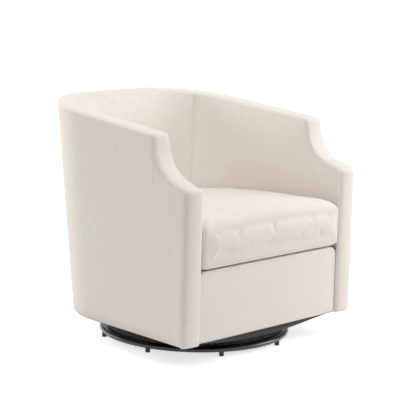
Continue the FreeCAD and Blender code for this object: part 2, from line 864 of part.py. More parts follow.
bolts = []
nuts = []
for side in (1, -1):
    for row_side in (1, -1):
        x = side * bolt_half
        y = AXIS_Y + row_side * bolt_half
        head_low = PLATE_LOW - size("bolt_head_height")
        spot = Vector(x, y, head_low)
        bolt = Part.makeCylinder(size("bolt_head_diameter") / 2, size("bolt_head_height"), spot)
        nut_top = cross_top + size("nut_height")
        stem = Part.makeCylinder(BOLT, nut_top + size("bolt_overhang") - head_low, spot)
        bolts.append(single(bolt.fuse(stem)))
        nut = hex_prism(size("nut_flats"), cross_top, size("nut_height"), x, y)
        nuts.append(single(nut.cut(stem)))
sub_part("swivel_bolts", group_of(bolts))
sub_part("swivel_nuts", group_of(nuts))

# Seat suspension: flat zigzag springs held in clips

bars = int(size("spring_bars"))
spring_front = BOARD_FRONT + size("front_board_thickness") / 2
spring_back = FRONT + size("spring_rail_front") + size("front_board_thickness") / 2
pitch = (spring_back - spring_front) / (bars - 1)
half_wire = WIRE / 2
bar_half = size("spring_bar_width") / 2


def spring_side(side):
    """Edges along one side of the zigzag wire; side is 1 on the left, -1 on the right."""
    edges = []
    for index in range(bars):
        heading = 1 if index % 2 == 0 else -1
        y = spring_front + index * pitch + side * heading * half_wire
        start = Vector(-heading * bar_half, y, WIRE_LOW)
        end = Vector(heading * bar_half, y, WIRE_LOW)
        edges.append(Part.makeLine(start, end))
        if index == bars - 1:
            break
        radius = pitch / 2 - side * heading * half_wire
        middle_y = spring_front + (index + 0.5) * pitch
        bulge = Vector(heading * (bar_half + radius), middle_y, WIRE_LOW)
        after = Vector(end.x, 2 * middle_y - y, WIRE_LOW)
        edges.append(Part.Arc(end, bulge, after).toShape())
    return edges


def zigzag():
    left = spring_side(1)
    right = spring_side(-1)
    first = Part.makeLine(right[0].Vertexes[0].Point, left[0].Vertexes[0].Point)
    last = Part.makeLine(left[-1].Vertexes[-1].Point, right[-1].Vertexes[-1].Point)
    outline = Part.Wire(Part.sortEdges(left + [last] + right + [first])[0])
    return Part.Face(outline).extrude(Vector(0, 0, WIRE))


springs = []
clips = []
spring = zigzag()
clip_half = size("clip_width") / 2
clip_sheet = size("clip_thickness")
for index in range(int(size("spring_count"))):
    x = (index - (size("spring_count") - 1) / 2) * size("spring_spacing")
    springs.append(spring.translated(Vector(x, 0, 0)))
    for y, facing in ((spring_front, 1), (spring_back, -1)):
        wall = y - facing * (half_wire + clip_sheet)
        mouth = wall + facing * size("clip_depth")
        shell = slab(
            SPRING_SEAT,
            WIRE_LOW + WIRE + clip_sheet,
            x - clip_half,
            x + clip_half,
            min(wall, mouth),
            max(wall, mouth),
        )
        slot_wall = y - facing * half_wire
        slot_mouth = mouth + facing * clip_sheet
        slot = slab(
            WIRE_LOW,
            WIRE_LOW + WIRE,
            x - 2 * clip_half,
            x + 2 * clip_half,
            min(slot_wall, slot_mouth),
            max(slot_wall, slot_mouth),
        )
        clips.append(single(shell.cut(slot)))
sub_part("seat_springs", group_of(springs))
sub_part("spring_clips", group_of(clips))

deck = cavity(HEM, -SOFT).common(slab(DECK_LOW, DECK_TOP, y_low=BOARD_FRONT))
sub_part("seat_deck", single(deck))

# Upholstery

outside = barrel(0).cut(barrel(COVER, FRONT - BEYOND)).common(UNDER_BAND)
outside = outside.common(slab(HEM, TOP, y_low=FRONT + BAND_IN))
sub_part("outside_panel", single(outside))

band = side_profile(0, HEM, BACK + BEYOND).cut(
    side_profile(size("strip_thickness"), HEM - BEYOND, BACK + 2 * BEYOND)
)
strip = band.common(barrel(0)).cut(SITTING_SPACE)
sub_part("boxing_strip", single(strip))

pads = barrel(PAD_OUT).cut(SITTING_SPACE).common(UNDER_BAND)
pads = pads.common(slab(SEAT_FRAME_TOP + SOFT, TOP, y_low=FRONT + BAND_IN))
pads = pads.cut(slab(HEM, SPRING_SEAT + SOFT, y_high=BOARD_BACK + SOFT))
_, _, _, _, _, corner_centre = u_arcs(*INNER_TOP, 0)
seam = math.radians(size("seam_angle_deg"))
seam_out = Vector(math.cos(seam), math.sin(seam), 0)
seam_point = corner_centre + seam_out * size("inner_corner_radius_top")
run = math.radians(size("seam_run_deg"))
seam_run = Vector(math.cos(run), math.sin(run), 0)
pole = seam_point - seam_run * (seam_point.x / seam_run.x)
far = pole + seam_run * (3 * seam_point.x)
wedge_corners = [
    Vector(0, pole.y, HEM),
    Vector(far.x, far.y, HEM),
    Vector(-far.x, far.y, HEM),
    Vector(0, pole.y, HEM),
]
wedge = Part.Face(Part.makePolygon(wedge_corners)).extrude(Vector(0, 0, TOP))
sub_part("inside_back_pad", single(pads.common(wedge)))
side_pads = pads.cut(wedge)
sub_part("inside_arm_pad_right", single(side_pads.common(slab(HEM, TOP, x_low=0))))
sub_part("inside_arm_pad_left", single(side_pads.common(slab(HEM, TOP, x_high=0))))

line, along, _, _, _, _ = u_arcs(*INNER_SEAT, 0)
rail_half = (line + along * ((RAIL_BACK - line.y) / along.y)).x - size("rail_gap")
rail_corners = [
    Vector(-rail_half, HEM, 0),
    Vector(rail_half, HEM, 0),
    Vector(rail_half, size("rail_height"), 0),
    Vector(-rail_half, size("rail_height"), 0),
]
rail_round = size("rail_corner_radius")
rail_front = FRONT + size("rail_setback")
rail_radii = [0, 0, rail_round, rail_round]


def on_rail_front(point):
    return Vector(point.x, rail_front, point.y)


rail_wire = rounded_loop(rail_corners, rail_radii, on_rail_front)
rail = Part.Face(rail_wire).extrude(Vector(0, size("rail_thickness"), 0))
front_edges = []
for edge in rail.Edges:
    box = edge.BoundBox
    if box.YMax < rail_front + 0.01 and box.ZMax > HEM + 0.01:
        front_edges.append(edge)
rail = rail.makeFillet(size("rail_edge_round"), front_edges)
sub_part("front_rail_pad", single(rail))

dust_inset = size("dust_cover_inset")
dust = u_wire(HEM, *OUTER_LOW, dust_inset, RAIL_BACK)
dust = Part.Face(dust).extrude(Vector(0, 0, -size("dust_cover_thickness")))
board_half_width = size("mount_board_width") / 2 + SOFT
dust = dust.cut(
    slab(
        0,
        HEM + PLY,
        -board_half_width,
        board_half_width,
        AXIS_Y - board_half_width,
        AXIS_Y + board_half_width,
    )
)
sub_part("dust_cover", single(dust))


# Loose seat cushion: crowned top, rounded edges, its cover and its foam core

def cushion_form(inset):
    """Solid of the cushion, drawn in by inset on every side."""
    gap = size("cushion_gap") + inset
    line, along, first, middle, last, _ = u_arcs(*INNER_SEAT, gap)
    front = CUSHION_FRONT + inset
    low = CUSHION_LOW + inset
    nose = line + along * ((front - line.y) / along.y)
    radius = size("cushion_corner_radius")
    back_turn = unit(first - nose)
    half = math.acos(back_turn.dot(Vector(-1, 0, 0))) / 2
    reach = radius / math.tan(half)
    centre = nose + unit(back_turn + Vector(-1, 0, 0)) * (radius / math.sin(half))
    corner_mid = centre + unit(nose - centre) * radius
    side_start = nose + back_turn * reach
    front_end = nose + Vector(-reach, 0, 0)
    rear = Vector(0, INNER_BACK - gap, 0)

    def right(point):
        return Vector(point.x, point.y, low)

    def left(point):
        return Vector(-point.x, point.y, low)

    edges = [
        Part.makeLine(left(front_end), right(front_end)),
        Part.Arc(right(front_end), right(corner_mid), right(side_start)).toShape(),
        Part.makeLine(right(side_start), right(first)),
        Part.Arc(right(first), right(middle), right(last)).toShape(),
        Part.Arc(right(last), right(rear), left(last)).toShape(),
        Part.Arc(left(last), left(middle), left(first)).toShape(),
        Part.makeLine(left(first), left(side_start)),
        Part.Arc(left(side_start), left(corner_mid), left(front_end)).toShape(),
    ]
    block = Part.Face(Part.Wire(edges)).extrude(Vector(0, 0, 2 * size("seat_height")))
    crown = size("cushion_crown")
    reach_across = math.hypot(size("seat_width"), size("seat_depth")) / 2
    dome_radius = (reach_across**2 + crown**2) / (2 * crown)
    summit = size("seat_height") - inset
    summit_y = (CUSHION_FRONT + INNER_BACK) / 2 - size("crown_lead")
    dome = Part.makeSphere(dome_radius, Vector(0, summit_y, summit - dome_radius))
    block = single(block.common(dome))
    top_edges = [edge for edge in block.Edges if edge.BoundBox.ZMin > low + 0.01]
    block = block.makeFillet(size("cushion_top_round") - inset, top_edges)
    bottom_edges = [edge for edge in block.Edges if edge.BoundBox.ZMax < low + 0.01]
    return single(block.makeFillet(size("cushion_bottom_round") - inset, bottom_edges))


cover_sheet = size("cushion_cover_thickness")
full = cushion_form(0)
cover = full.cut(cushion_form(cover_sheet))
zip_low = size("zipper_height")
zip_block = slab(
    zip_low,
    zip_low + size("zipper_width"),
    -size("zipper_length") / 2,
    size("zipper_length") / 2,
    INNER_BACK / 2,
)
zipper = full.common(zip_block)
gap = size("cushion_gap") + size("zipper_thickness")
inner_wire = u_wire(zip_low - PLY, *INNER_SEAT, gap, FRONT - BEYOND)
inner_block = Part.Face(inner_wire).extrude(Vector(0, 0, 4 * PLY))
zipper = single(zipper.cut(inner_block))
sub_part("cushion_zipper", zipper)
sub_part("cushion_cover", single(cover.cut(zipper)))
sub_part("cushion_core", cushion_form(cover_sheet + SOFT))

# Check every object, then write one file per sub-part

doc.recompute()
for item in doc.Objects:
    if "Invalid" in item.State or "Error" in item.State:
        raise RuntimeError("failed object: " + item.Name)

os.makedirs("parts", exist_ok=True)
written = 0
for item in doc.Objects:
    if item.TypeId not in ("Part::Feature", "Part::Torus", "PartDesign::Body"):
        continue
    shape = item.Shape
    if shape.isNull() or not shape.isValid() or not shape.Solids:
        raise RuntimeError("bad shape: " + item.Label)
    shape.exportStep("parts/%s.step" % item.Label)
    written += 1
print("sub-parts written:", written)
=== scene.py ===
import math

import bmesh
import bpy
from mathutils import Matrix, Vector, noise
from mathutils.kdtree import KDTree


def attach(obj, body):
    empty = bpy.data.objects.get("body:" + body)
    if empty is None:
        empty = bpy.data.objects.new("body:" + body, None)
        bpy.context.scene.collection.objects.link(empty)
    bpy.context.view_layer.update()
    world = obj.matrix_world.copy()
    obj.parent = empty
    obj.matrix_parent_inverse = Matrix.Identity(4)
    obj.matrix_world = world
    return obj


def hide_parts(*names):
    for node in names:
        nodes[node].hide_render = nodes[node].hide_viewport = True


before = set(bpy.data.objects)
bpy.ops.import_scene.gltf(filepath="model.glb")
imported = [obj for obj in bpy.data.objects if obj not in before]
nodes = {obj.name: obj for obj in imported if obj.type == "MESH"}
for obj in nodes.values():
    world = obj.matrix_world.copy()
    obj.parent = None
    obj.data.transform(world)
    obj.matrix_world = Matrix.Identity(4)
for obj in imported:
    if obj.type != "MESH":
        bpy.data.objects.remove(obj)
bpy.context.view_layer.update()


# Camera, floor and lamps.
# The camera stands left of the chair's front, at the photograph's angle and a
# long way off. The floor and the room are plain and pale, and the lamps soft.

bpy.context.scene.view_settings.view_transform = "Standard"

turn = math.radians(-46.69)
lift = math.radians(9.88)
roll = math.radians(1.54)
backward = Vector(
    (math.sin(turn) * math.cos(lift), -math.cos(turn) * math.cos(lift), math.sin(lift))
)
level_right = Vector((math.cos(turn), math.sin(turn), 0))
level_up = backward.cross(level_right)
right = level_right * math.cos(roll) + level_up * math.sin(roll)
up = level_up * math.cos(roll) - level_right * math.sin(roll)
camera_data = bpy.data.cameras.new("camera")
camera_data.sensor_width = 36
camera_data.lens = 134.61
camera = bpy.data.objects.new("camera", camera_data)
bpy.context.scene.collection.objects.link(camera)
camera_aim = Vector((0.0249, -0.0722, 0.4077))
camera_distance = 4.965
facing = Matrix((right, up, backward)).transposed().to_4x4()
camera.matrix_world = Matrix.Translation(camera_aim + backward * camera_distance) @ facing
bpy.context.scene.camera = camera


def seen_white(tree, strength):
    """Whether a ray only looks at a surface, and that times a strength."""
    path = tree.nodes.new("ShaderNodeLightPath")
    seen = path.outputs["Is Camera Ray"]
    for ray in ("Is Glossy Ray", "Is Transmission Ray"):
        either = tree.nodes.new("ShaderNodeMath")
        either.operation = "MAXIMUM"
        tree.links.new(seen, either.inputs[0])
        tree.links.new(path.outputs[ray], either.inputs[1])
        seen = either.outputs[0]
    power = tree.nodes.new("ShaderNodeMath")
    power.operation = "MULTIPLY"
    tree.links.new(seen, power.inputs[0])
    power.inputs[1].default_value = strength
    return seen, power.outputs[0]


world = bpy.data.worlds.new("room")
bpy.context.scene.world = world
world.use_nodes = True
world_tree = world.node_tree
room_light = world_tree.nodes["Background"]
room_light.inputs["Color"].default_value = (0.985, 0.99, 1.0, 1)
room_light.inputs["Strength"].default_value = 0.44
white_light = world_tree.nodes.new("ShaderNodeBackground")
white_light.inputs["Color"].default_value = (1, 1, 1, 1)
white_light.inputs["Strength"].default_value = 1.0
room_mix = world_tree.nodes.new("ShaderNodeMixShader")
seen, _ = seen_white(world_tree, 1.0)
world_tree.links.new(seen, room_mix.inputs[0])
world_tree.links.new(room_light.outputs[0], room_mix.inputs[1])
world_tree.links.new(white_light.outputs[0], room_mix.inputs[2])
world_tree.links.new(room_mix.outputs[0], world_tree.nodes["World Output"].inputs["Surface"])

floor_mesh = bpy.data.meshes.new("floor")
floor_corners = [(14 * x, 14 * y, 0) for x, y in ((-1, -1), (1, -1), (1, 1), (-1, 1))]
floor_mesh.from_pydata(floor_corners, [], [(0, 1, 2, 3)])
floor = bpy.data.objects.new("floor", floor_mesh)
bpy.context.scene.collection.objects.link(floor)
floor_paint = bpy.data.materials.new("floor_paint")
floor_paint.use_nodes = True
floor_tree = floor_paint.node_tree
floor_shader = floor_tree.nodes["Principled BSDF"]
floor_shader.inputs["Base Color"].default_value = (0.86, 0.85, 0.83, 1)
floor_shader.inputs["Roughness"].default_value = 0.8
floor_shader.inputs["Specular IOR Level"].default_value = 0.1
floor_shader.inputs["Emission Color"].default_value = (1, 1, 1, 1)
_, glow = seen_white(floor_tree, 0.68)
floor_tree.links.new(glow, floor_shader.inputs["Emission Strength"])
floor_mesh.materials.append(floor_paint)


def lamp(name, place, aim, width, power, tint):
    """Square soft lamp at a place, turned to its aim."""
    light = bpy.data.lights.new(name, "AREA")
    light.size = width
    light.energy = power
    light.color = tint
    source = bpy.data.objects.new(name, light)
    bpy.context.scene.collection.objects.link(source)
    source.location = place
    source.rotation_euler = (Vector(aim) - Vector(place)).to_track_quat("-Z", "Y").to_euler()


lamp("right_lamp", (2.1, -1.7, 1.3), (0.1, -0.2, 0.4), 1.4, 34, (0.99, 0.99, 1.0))
lamp("rear_left_lamp", (-0.95, 2.8, 1.5), (-0.2, 0.2, 0.5), 1.4, 49, (0.95, 0.975, 1.0))
lamp("top_lamp", (-0.3, -0.4, 3.4), (0, 0, 0.5), 2.2, 38, (0.985, 0.99, 1.0))


# Steel base: a round tube ring and the pressed pan inside it.
# Both are mild steel with a glossy black stoved finish. The ring is rolled and
# butt welded, the pan pressed from sheet and spot welded to it.


class Shade:
    """One socket of a material's tree; sums and products of it add Math nodes."""

    def __init__(self, tree, socket=None):
        self.tree = tree
        self.socket = socket

    def add(self, kind, settings=None, sockets=None, output=0):
        """New node: its settings first, then the values or links of its sockets."""
        made = self.tree.nodes.new("ShaderNode" + kind)
        for name, value in (settings or {}).items():
            setattr(made, name, value)
        for name, value in (sockets or {}).items():
            if isinstance(value, Shade):
                self.tree.links.new(value.socket, made.inputs[name])
            else:
                made.inputs[name].default_value = value
        return Shade(self.tree, made.outputs[output])

    def sum(self, operation, first, second=0.0):
        return self.add("Math", {"operation": operation}, {0: first, 1: second})

    def __add__(self, other):
        return self.sum("ADD", self, other)

    def __radd__(self, other):
        return self.sum("ADD", other, self)

    def __sub__(self, other):
        return self.sum("SUBTRACT", self, other)

    def __rsub__(self, other):
        return self.sum("SUBTRACT", other, self)

    def __mul__(self, other):
        return self.sum("MULTIPLY", self, other)

    def __rmul__(self, other):
        return self.sum("MULTIPLY", other, self)

    def between(self, low, high):
        """Smooth step from 0 at low to 1 at high."""
        return self.add(
            "MapRange",
            {"interpolation_type": "SMOOTHSTEP"},
            {"Value": self, "From Min": low, "From Max": high},
        )

    def tint(self, dark, light):
        """Colour between two, by this value."""
        return self.add(
            "Mix",
            {"data_type": "RGBA"},
            {0: self, 6: (*dark, 1), 7: (*light, 1)},
            output=2,
        )

    def over(self, under, colour):
        """A colour laid over another, by this value."""
        top = colour if isinstance(colour, Shade) else (*colour, 1)
        return self.add("Mix", {"data_type": "RGBA"}, {0: self, 6: under, 7: top}, output=2)


def linear(red, green, blue):
    """A colour given in screen values of 0 to 255."""
    parts = [value / 255 for value in (red, green, blue)]
    return tuple(
        part / 12.92 if part <= 0.04045 else ((part + 0.055) / 1.055) ** 2.4 for part in parts
    )


def new_finish(name, **constants):
    """Material with its shader's plain sockets set; gives it, its shader and a Shade."""
    material = bpy.data.materials.new(name)
    material.use_nodes = True
    shader = material.node_tree.nodes["Principled BSDF"]
    for key, value in constants.items():
        shader.inputs[key.replace("_", " ")].default_value = value
    return material, shader, Shade(material.node_tree)


def feed(shade, shader, name, value):
    """Links a value that varies to one of the shader's sockets."""
    shade.tree.links.new(value.socket, shader.inputs[name])


def mottle(shade, place, scale, detail=3.0, roughness=0.5):
    """Uneven cloudy value from 0 to 1."""
    return shade.add(
        "TexNoise",
        {},
        {"Vector": place, "Scale": scale, "Detail": detail, "Roughness": roughness},
    )


def stretched(shade, place, stretch):
    """Place scaled apart on its three axes, for a grain or a thread."""
    return shade.add("VectorMath", {"operation": "MULTIPLY"}, {0: place, 1: stretch})


def bumped(shade, height, strength, distance):
    """Normal of a relief; distance is its depth in metres."""
    return shade.add(
        "Bump", {}, {"Height": height, "Strength": strength, "Distance": distance}
    )


def enamel():
    """Glossy black stoving enamel with a faint orange peel and thin dust."""
    material, shader, shade = new_finish("black_enamel", IOR=1.5, Coat_Roughness=0.06)
    place = shade.add("TexCoord", output=3)
    dust = mottle(shade, place, 9.0, 5.0, 0.6).between(0.42, 0.72)
    peel = mottle(shade, place, 420.0, 2.0)
    feed(shade, shader, "Base Color", dust.tint(linear(17, 17, 18), linear(30, 30, 31)))
    feed(shade, shader, "Roughness", 0.24 + dust * 0.14 + peel * 0.04)
    feed(shade, shader, "Coat Weight", 0.5 - dust * 0.3)
    feed(shade, shader, "Normal", bumped(shade, peel, 0.15, 0.0002))
    return material


def dress(names, material):
    """Gives CAD nodes that stay their finish."""
    for name in names:
        mesh = nodes[name].data
        mesh.materials.clear()
        mesh.materials.append(material)


dress(("base_ring", "base_pan", "pedestal"), enamel())


# Glides: eight black nylon feet pressed into the underside of the ring.
# They are moulded, a little grainy, and scuffed paler where they meet the floor.


def nylon():
    material, shader, shade = new_finish("black_nylon", IOR=1.53)
    place = shade.add("TexCoord", output=3)
    height = shade.add("SeparateXYZ", {}, {"Vector": place}, output=2)
    rubbed = mottle(shade, place, 260.0, 4.0).between(0.4, 0.6)
    scuff = (1 - height.between(0.0005, 0.004)) * rubbed
    grain = mottle(shade, place, 900.0, 2.0)
    feed(shade, shader, "Base Color", scuff.tint(linear(24, 24, 25), linear(88, 86, 83)))
    feed(shade, shader, "Roughness", 0.42 + scuff * 0.3 + grain * 0.08)
    feed(shade, shader, "Normal", bumped(shade, grain, 0.25, 0.0002))
    return material


moulded_nylon = nylon()
dress(("glides", "ball_cage", "pivot_bush"), moulded_nylon)


# Swivel bearing and its fasteners.
# Two pressed races hold sixteen hardened balls in a nylon cage. The pivot bolt,
# its nut, the plate and the carriage bolts are zinc plated steel.


def bare_steel(name, colour, dark, roughness, lines):
    """Turned or plated steel with fine rings or spangle and a little staining."""
    material, shader, shade = new_finish(name)
    place = shade.add("TexCoord", output=3)
    stain = mottle(shade, place, 24.0, 5.0, 0.65).between(0.5, 0.75)
    spangle = mottle(shade, stretched(shade, place, lines), 60.0, 3.0)
    feed(shade, shader, "Base Color", stain.tint(linear(*colour), linear(*dark)))
    feed(shade, shader, "Roughness", roughness + stain * 0.18 + spangle * 0.12)
    feed(shade, shader, "Metallic", 1.0 - stain * 0.25)
    feed(shade, shader, "Normal", bumped(shade, spangle, 0.12, 0.0003))
    return material


ground_steel = bare_steel("ground_steel", (196, 198, 200), (150, 146, 138), 0.16, (1, 1, 12))
zinc_plate = bare_steel("zinc_plate", (188, 192, 190), (158, 155, 140), 0.34, (1, 1, 1))
spring_wire = bare_steel("spring_wire", (92, 90, 86), (66, 56, 48), 0.38, (9, 1, 9))
dress(("lower_race", "upper_race", "bearing_balls"), ground_steel)
dress(
    ("pivot_bolt", "pivot_nut", "thrust_washer", "swivel_plate", "swivel_bolts", "swivel_nuts"),
    zinc_plate,
)
dress(("seat_springs",), spring_wire)
dress(("spring_clips",), zinc_plate)


# Timber frame: plywood panels, plates and rib, with sawn hardwood boards,
# blocks and stiles. It is glued and stapled and left bare, so the plies show at
# the cut edges and the sawn faces keep their grain.


def plywood():
    """Pale face veneer on the broad faces, stripes of ply on the cut edges."""
    material, shader, shade = new_finish("plywood", IOR=1.45)
    place = shade.add("TexCoord", output=3)
    normal = shade.add("NewGeometry", output=1)
    level = shade.add("SeparateXYZ", {}, {"Vector": normal}, output=2)
    height = shade.add("SeparateXYZ", {}, {"Vector": place}, output=2)
    upright = 1 - shade.sum("ABSOLUTE", level).between(0.3, 0.7)
    grain = mottle(shade, stretched(shade, place, (3, 40, 40)), 6.0, 6.0, 0.62)
    figure = mottle(shade, stretched(shade, place, (2, 14, 14)), 2.2, 3.0)
    plies = shade.sum("SINE", height * (2 * math.pi / 0.0032)).between(-0.4, 0.4)
    veneer = grain.between(0.3, 0.72).tint(linear(206, 172, 124), linear(228, 200, 156))
    veneer = (figure.between(0.4, 0.7) * 0.35).over(veneer, linear(190, 148, 98))
    edge = plies.tint(linear(168, 126, 82), linear(216, 186, 140))
    feed(shade, shader, "Base Color", (upright * 0.55).over(veneer, edge))
    feed(shade, shader, "Roughness", 0.62 + grain * 0.16)
    feed(shade, shader, "Normal", bumped(shade, grain + plies * upright * 0.3, 0.3, 0.0006))
    return material


def hardwood():
    """Sawn poplar: straight grain along the board with saw marks across."""
    material, shader, shade = new_finish("sawn_poplar", IOR=1.45)
    place = shade.add("TexCoord", output=3)
    grain = mottle(shade, stretched(shade, place, (4, 30, 60)), 5.0, 6.0, 0.6)
    streak = mottle(shade, stretched(shade, place, (2, 8, 22)), 2.5, 3.0)
    saw = mottle(shade, stretched(shade, place, (160, 12, 12)), 2.0, 2.0)
    wood = grain.between(0.3, 0.7).tint(linear(186, 160, 118), linear(216, 194, 150))
    wood = (streak.between(0.45, 0.7) * 0.5).over(wood, linear(150, 136, 96))
    feed(shade, shader, "Base Color", wood)
    feed(shade, shader, "Roughness", 0.66 + grain * 0.18)
    feed(shade, shader, "Normal", bumped(shade, grain + saw * 0.6, 0.35, 0.0008))
    return material


panels = ("arm_panel_left", "arm_panel_right", "bottom_frame", "seat_frame", "mount_board")
dress((*panels, "rear_spring_rail", "top_rib"), plywood())
boards = ("front_rail_board", "cross_board_left", "cross_board_right")
dress((*boards, "corner_blocks", "lower_stiles", "upper_stiles"), hardwood())


# Wall of the barrel: its outlines in plan and the side view of its top edge.
# The chair is a squarish U that widens and leans back as it rises. Every cover
# and pad of the wall is laid out on these lines, which are those of the frame.

FRONT = -0.3721
BACK = 0.3721
MID = -0.0601
HEM = 0.077
TOP = 0.7493
SEAT_LINE = 0.435


def plan_line(front_half, mid_half, corner, bow, back):
    """A U in plan by station: 0 right front, 1 and 2 the corner, 3 the back, 6 left front."""
    start = Vector((front_half, FRONT))
    along = (Vector((mid_half, MID)) - start).normalized()
    inward = Vector((-along.y, along.x))
    bow_centre = Vector((0, back - bow))
    offset = start + inward * corner - bow_centre
    dot = offset.dot(along)
    reach = -dot + math.sqrt(dot * dot - offset.dot(offset) + (bow - corner) ** 2)
    centre = start + inward * corner + along * reach
    outward = (centre - bow_centre).normalized()
    side_end = centre - inward * corner
    first_turn = math.atan2(-inward.y, -inward.x)
    last_turn = math.atan2(outward.y, outward.x)

    def place(station):
        """Point of the outline and the way out of the wall there."""
        half = min(station, 6 - station)
        if half <= 1:
            spot = start.lerp(side_end, half)
            out = -inward
        elif half <= 2:
            angle = first_turn + (last_turn - first_turn) * (half - 1)
            out = Vector((math.cos(angle), math.sin(angle)))
            spot = centre + out * corner
        else:
            angle = last_turn + (math.pi / 2 - last_turn) * (half - 2)
            out = Vector((math.cos(angle), math.sin(angle)))
            spot = bow_centre + out * bow
        if station > 3:
            return Vector((-spot.x, spot.y)), Vector((-out.x, out.y))
        return spot, out

    return place


OUTER_LOW = plan_line(0.38735, 0.363, 0.225, 1.1, 0.2911)
OUTER_TOP = plan_line(0.38735, 0.3765, 0.255, 1.7, 0.3721)
INNER_SEAT = plan_line(0.321, 0.2795, 0.18, 1.0, 0.1759)
INNER_TOP_CORNER = 0.205
INNER_TOP = plan_line(0.32335, 0.3125, INNER_TOP_CORNER, 1.65, 0.3261)


def between_lines(low, high, share, station, height):
    """Point and way out at a share of the way from one outline to another."""
    near, near_out = low(station)
    far, far_out = high(station)
    spot = near.lerp(far, share)
    out = near_out.lerp(far_out, share).normalized()
    return Vector((spot.x, spot.y, height)), Vector((out.x, out.y, 0))


def outer_wall(station, height):
    """Point on the outside of the wall and the way out of it."""
    share = (height - HEM) / (TOP - HEM)
    return between_lines(OUTER_LOW, OUTER_TOP, share, station, height)


def inner_wall(station, height):
    """Point on the inside of the wall and the way out of it, towards the sitter."""
    share = max(0.0, (height - SEAT_LINE) / (TOP - SEAT_LINE))
    spot, out = between_lines(INNER_SEAT, INNER_TOP, share, station, height)
    return spot, -out


def side_view():
    """The top edge seen from the side, as points (y, z)."""
    slope = math.radians(18)
    riser = math.radians(80)
    arm = Vector((FRONT, 0.540))
    shoulder = Vector((FRONT + 0.145, 0.688))
    last = math.atan2(TOP - shoulder.y, BACK - shoulder.x)
    angles = [math.pi / 2, slope, riser, last]
    meets = [arm]
    gap = shoulder - arm
    reach = (gap.x * math.sin(riser) - gap.y * math.cos(riser)) / math.sin(riser - slope)
    meets.append(arm + Vector((math.cos(slope), math.sin(slope))) * reach)
    meets.append(shoulder)
    radii = [0.014, 0.118, 0.014]
    points = []

    def run(start, end, pitch):
        count = max(1, int((end - start).length / pitch))
        for index in range(count):
            points.append(start.lerp(end, index / count))

    place = Vector((FRONT, HEM))
    for index, (corner, radius) in enumerate(zip(meets, radii)):
        coming = Vector((math.cos(angles[index]), math.sin(angles[index])))
        going = Vector((math.cos(angles[index + 1]), math.sin(angles[index + 1])))
        bend = abs(angles[index + 1] - angles[index])
        cut = radius * math.tan(bend / 2)
        run(place, corner - coming * cut, 0.006)
        middle = (going - coming).normalized()
        centre = corner + middle * (radius / math.cos(bend / 2))
        first = corner - coming * cut - centre
        steps = max(7, int(radius * bend / 0.006))
        side = 1 if angles[index + 1] > angles[index] else -1
        for step in range(steps):
            spin = side * bend * step / steps
            turned = Vector(
                (
                    first.x * math.cos(spin) - first.y * math.sin(spin),
                    first.x * math.sin(spin) + first.y * math.cos(spin),
                )
            )
            points.append(centre + turned)
        place = corner + going * cut
    run(place, Vector((BACK + 0.02, TOP + 0.02 * math.tan(last))), 0.006)
    return points


EDGE = side_view()


def crest(y):
    """Height of the top edge over a depth."""
    if y <= EDGE[0].x:
        return max(point.y for point in EDGE if point.x <= FRONT + 1e-6)
    for first, second in zip(EDGE, EDGE[1:]):
        if first.x <= y <= second.x and second.x > first.x:
            return first.y + (second.y - first.y) * (y - first.x) / (second.x - first.x)
    return EDGE[-1].y


def top_of(wall, station):
    """Height at which a wall meets the top edge, at one station."""
    low = HEM
    high = TOP + 0.01
    for _ in range(30):
        middle = (low + high) / 2
        if crest(wall(station, middle)[0].y) > middle:
            low = middle
        else:
            high = middle
    return (low + high) / 2


def station_at(wall, y, height):
    """Station at which a wall passes a depth, at one height."""
    low = 0.0
    high = 3.0
    for _ in range(30):
        middle = (low + high) / 2
        if wall(middle, height)[0].y < y:
            low = middle
        else:
            high = middle
    return (low + high) / 2


FRONT_RUN = [point for point in EDGE if point.x <= FRONT + 1e-6]
ARM_RUN = [point for point in EDGE if FRONT + 1e-6 < point.x < -0.19]


def edge_stations(wall):
    """Stations and heights along the top edge of one wall, right front to left front."""
    half = [(0.0, point.y) for point in FRONT_RUN]
    for point in ARM_RUN:
        station = station_at(wall, point.x, point.y)
        half.append((station, top_of(wall, station)))
    first = half[-1][0]
    back_steps = 74
    for index in range(1, back_steps + 1):
        station = first + (3 - first) * index / back_steps
        half.append((station, top_of(wall, station)))
    rest = [(6 - station, height) for station, height in reversed(half[:-1])]
    return half + rest


def new_piece(name, points, faces, material, smooth=True):
    """Piece from points and faces, with its normals turned outwards."""
    mesh = bpy.data.meshes.new(name)
    mesh.from_pydata([tuple(point) for point in points], [], faces)
    piece = bpy.data.objects.new(name, mesh)
    bpy.context.scene.collection.objects.link(piece)
    mesh.materials.append(material)
    shell = bmesh.new()
    shell.from_mesh(mesh)
    bmesh.ops.recalc_face_normals(shell, faces=shell.faces)
    shell.to_mesh(mesh)
    shell.free()
    for polygon in mesh.polygons:
        polygon.use_smooth = smooth
    return piece


def grid_faces(rows, columns, first=0, closed=False):
    """Quads over a grid of points kept row by row; closed joins its last column to its first."""
    faces = []
    for row in range(rows - 1):
        here = first + row * columns
        following = here + columns
        for column in range(columns if closed else columns - 1):
            beside = (column + 1) % columns
            faces.append((here + column, here + beside, following + beside, following + column))
    return faces


def end_caps(rows, columns, first=0):
    """The two end faces of a tube of rings, in the order that its quads need."""
    last = first + (rows - 1) * columns
    return [tuple(reversed(range(first, first + columns))), tuple(range(last, last + columns))]


def map_weave(piece, cloth):
    """Weave map from the flat place in metres of each point of the cloth."""
    layer = piece.data.uv_layers.new(name="weave")
    for loop in piece.data.loops:
        layer.data[loop.index].uv = cloth[loop.vertex_index]


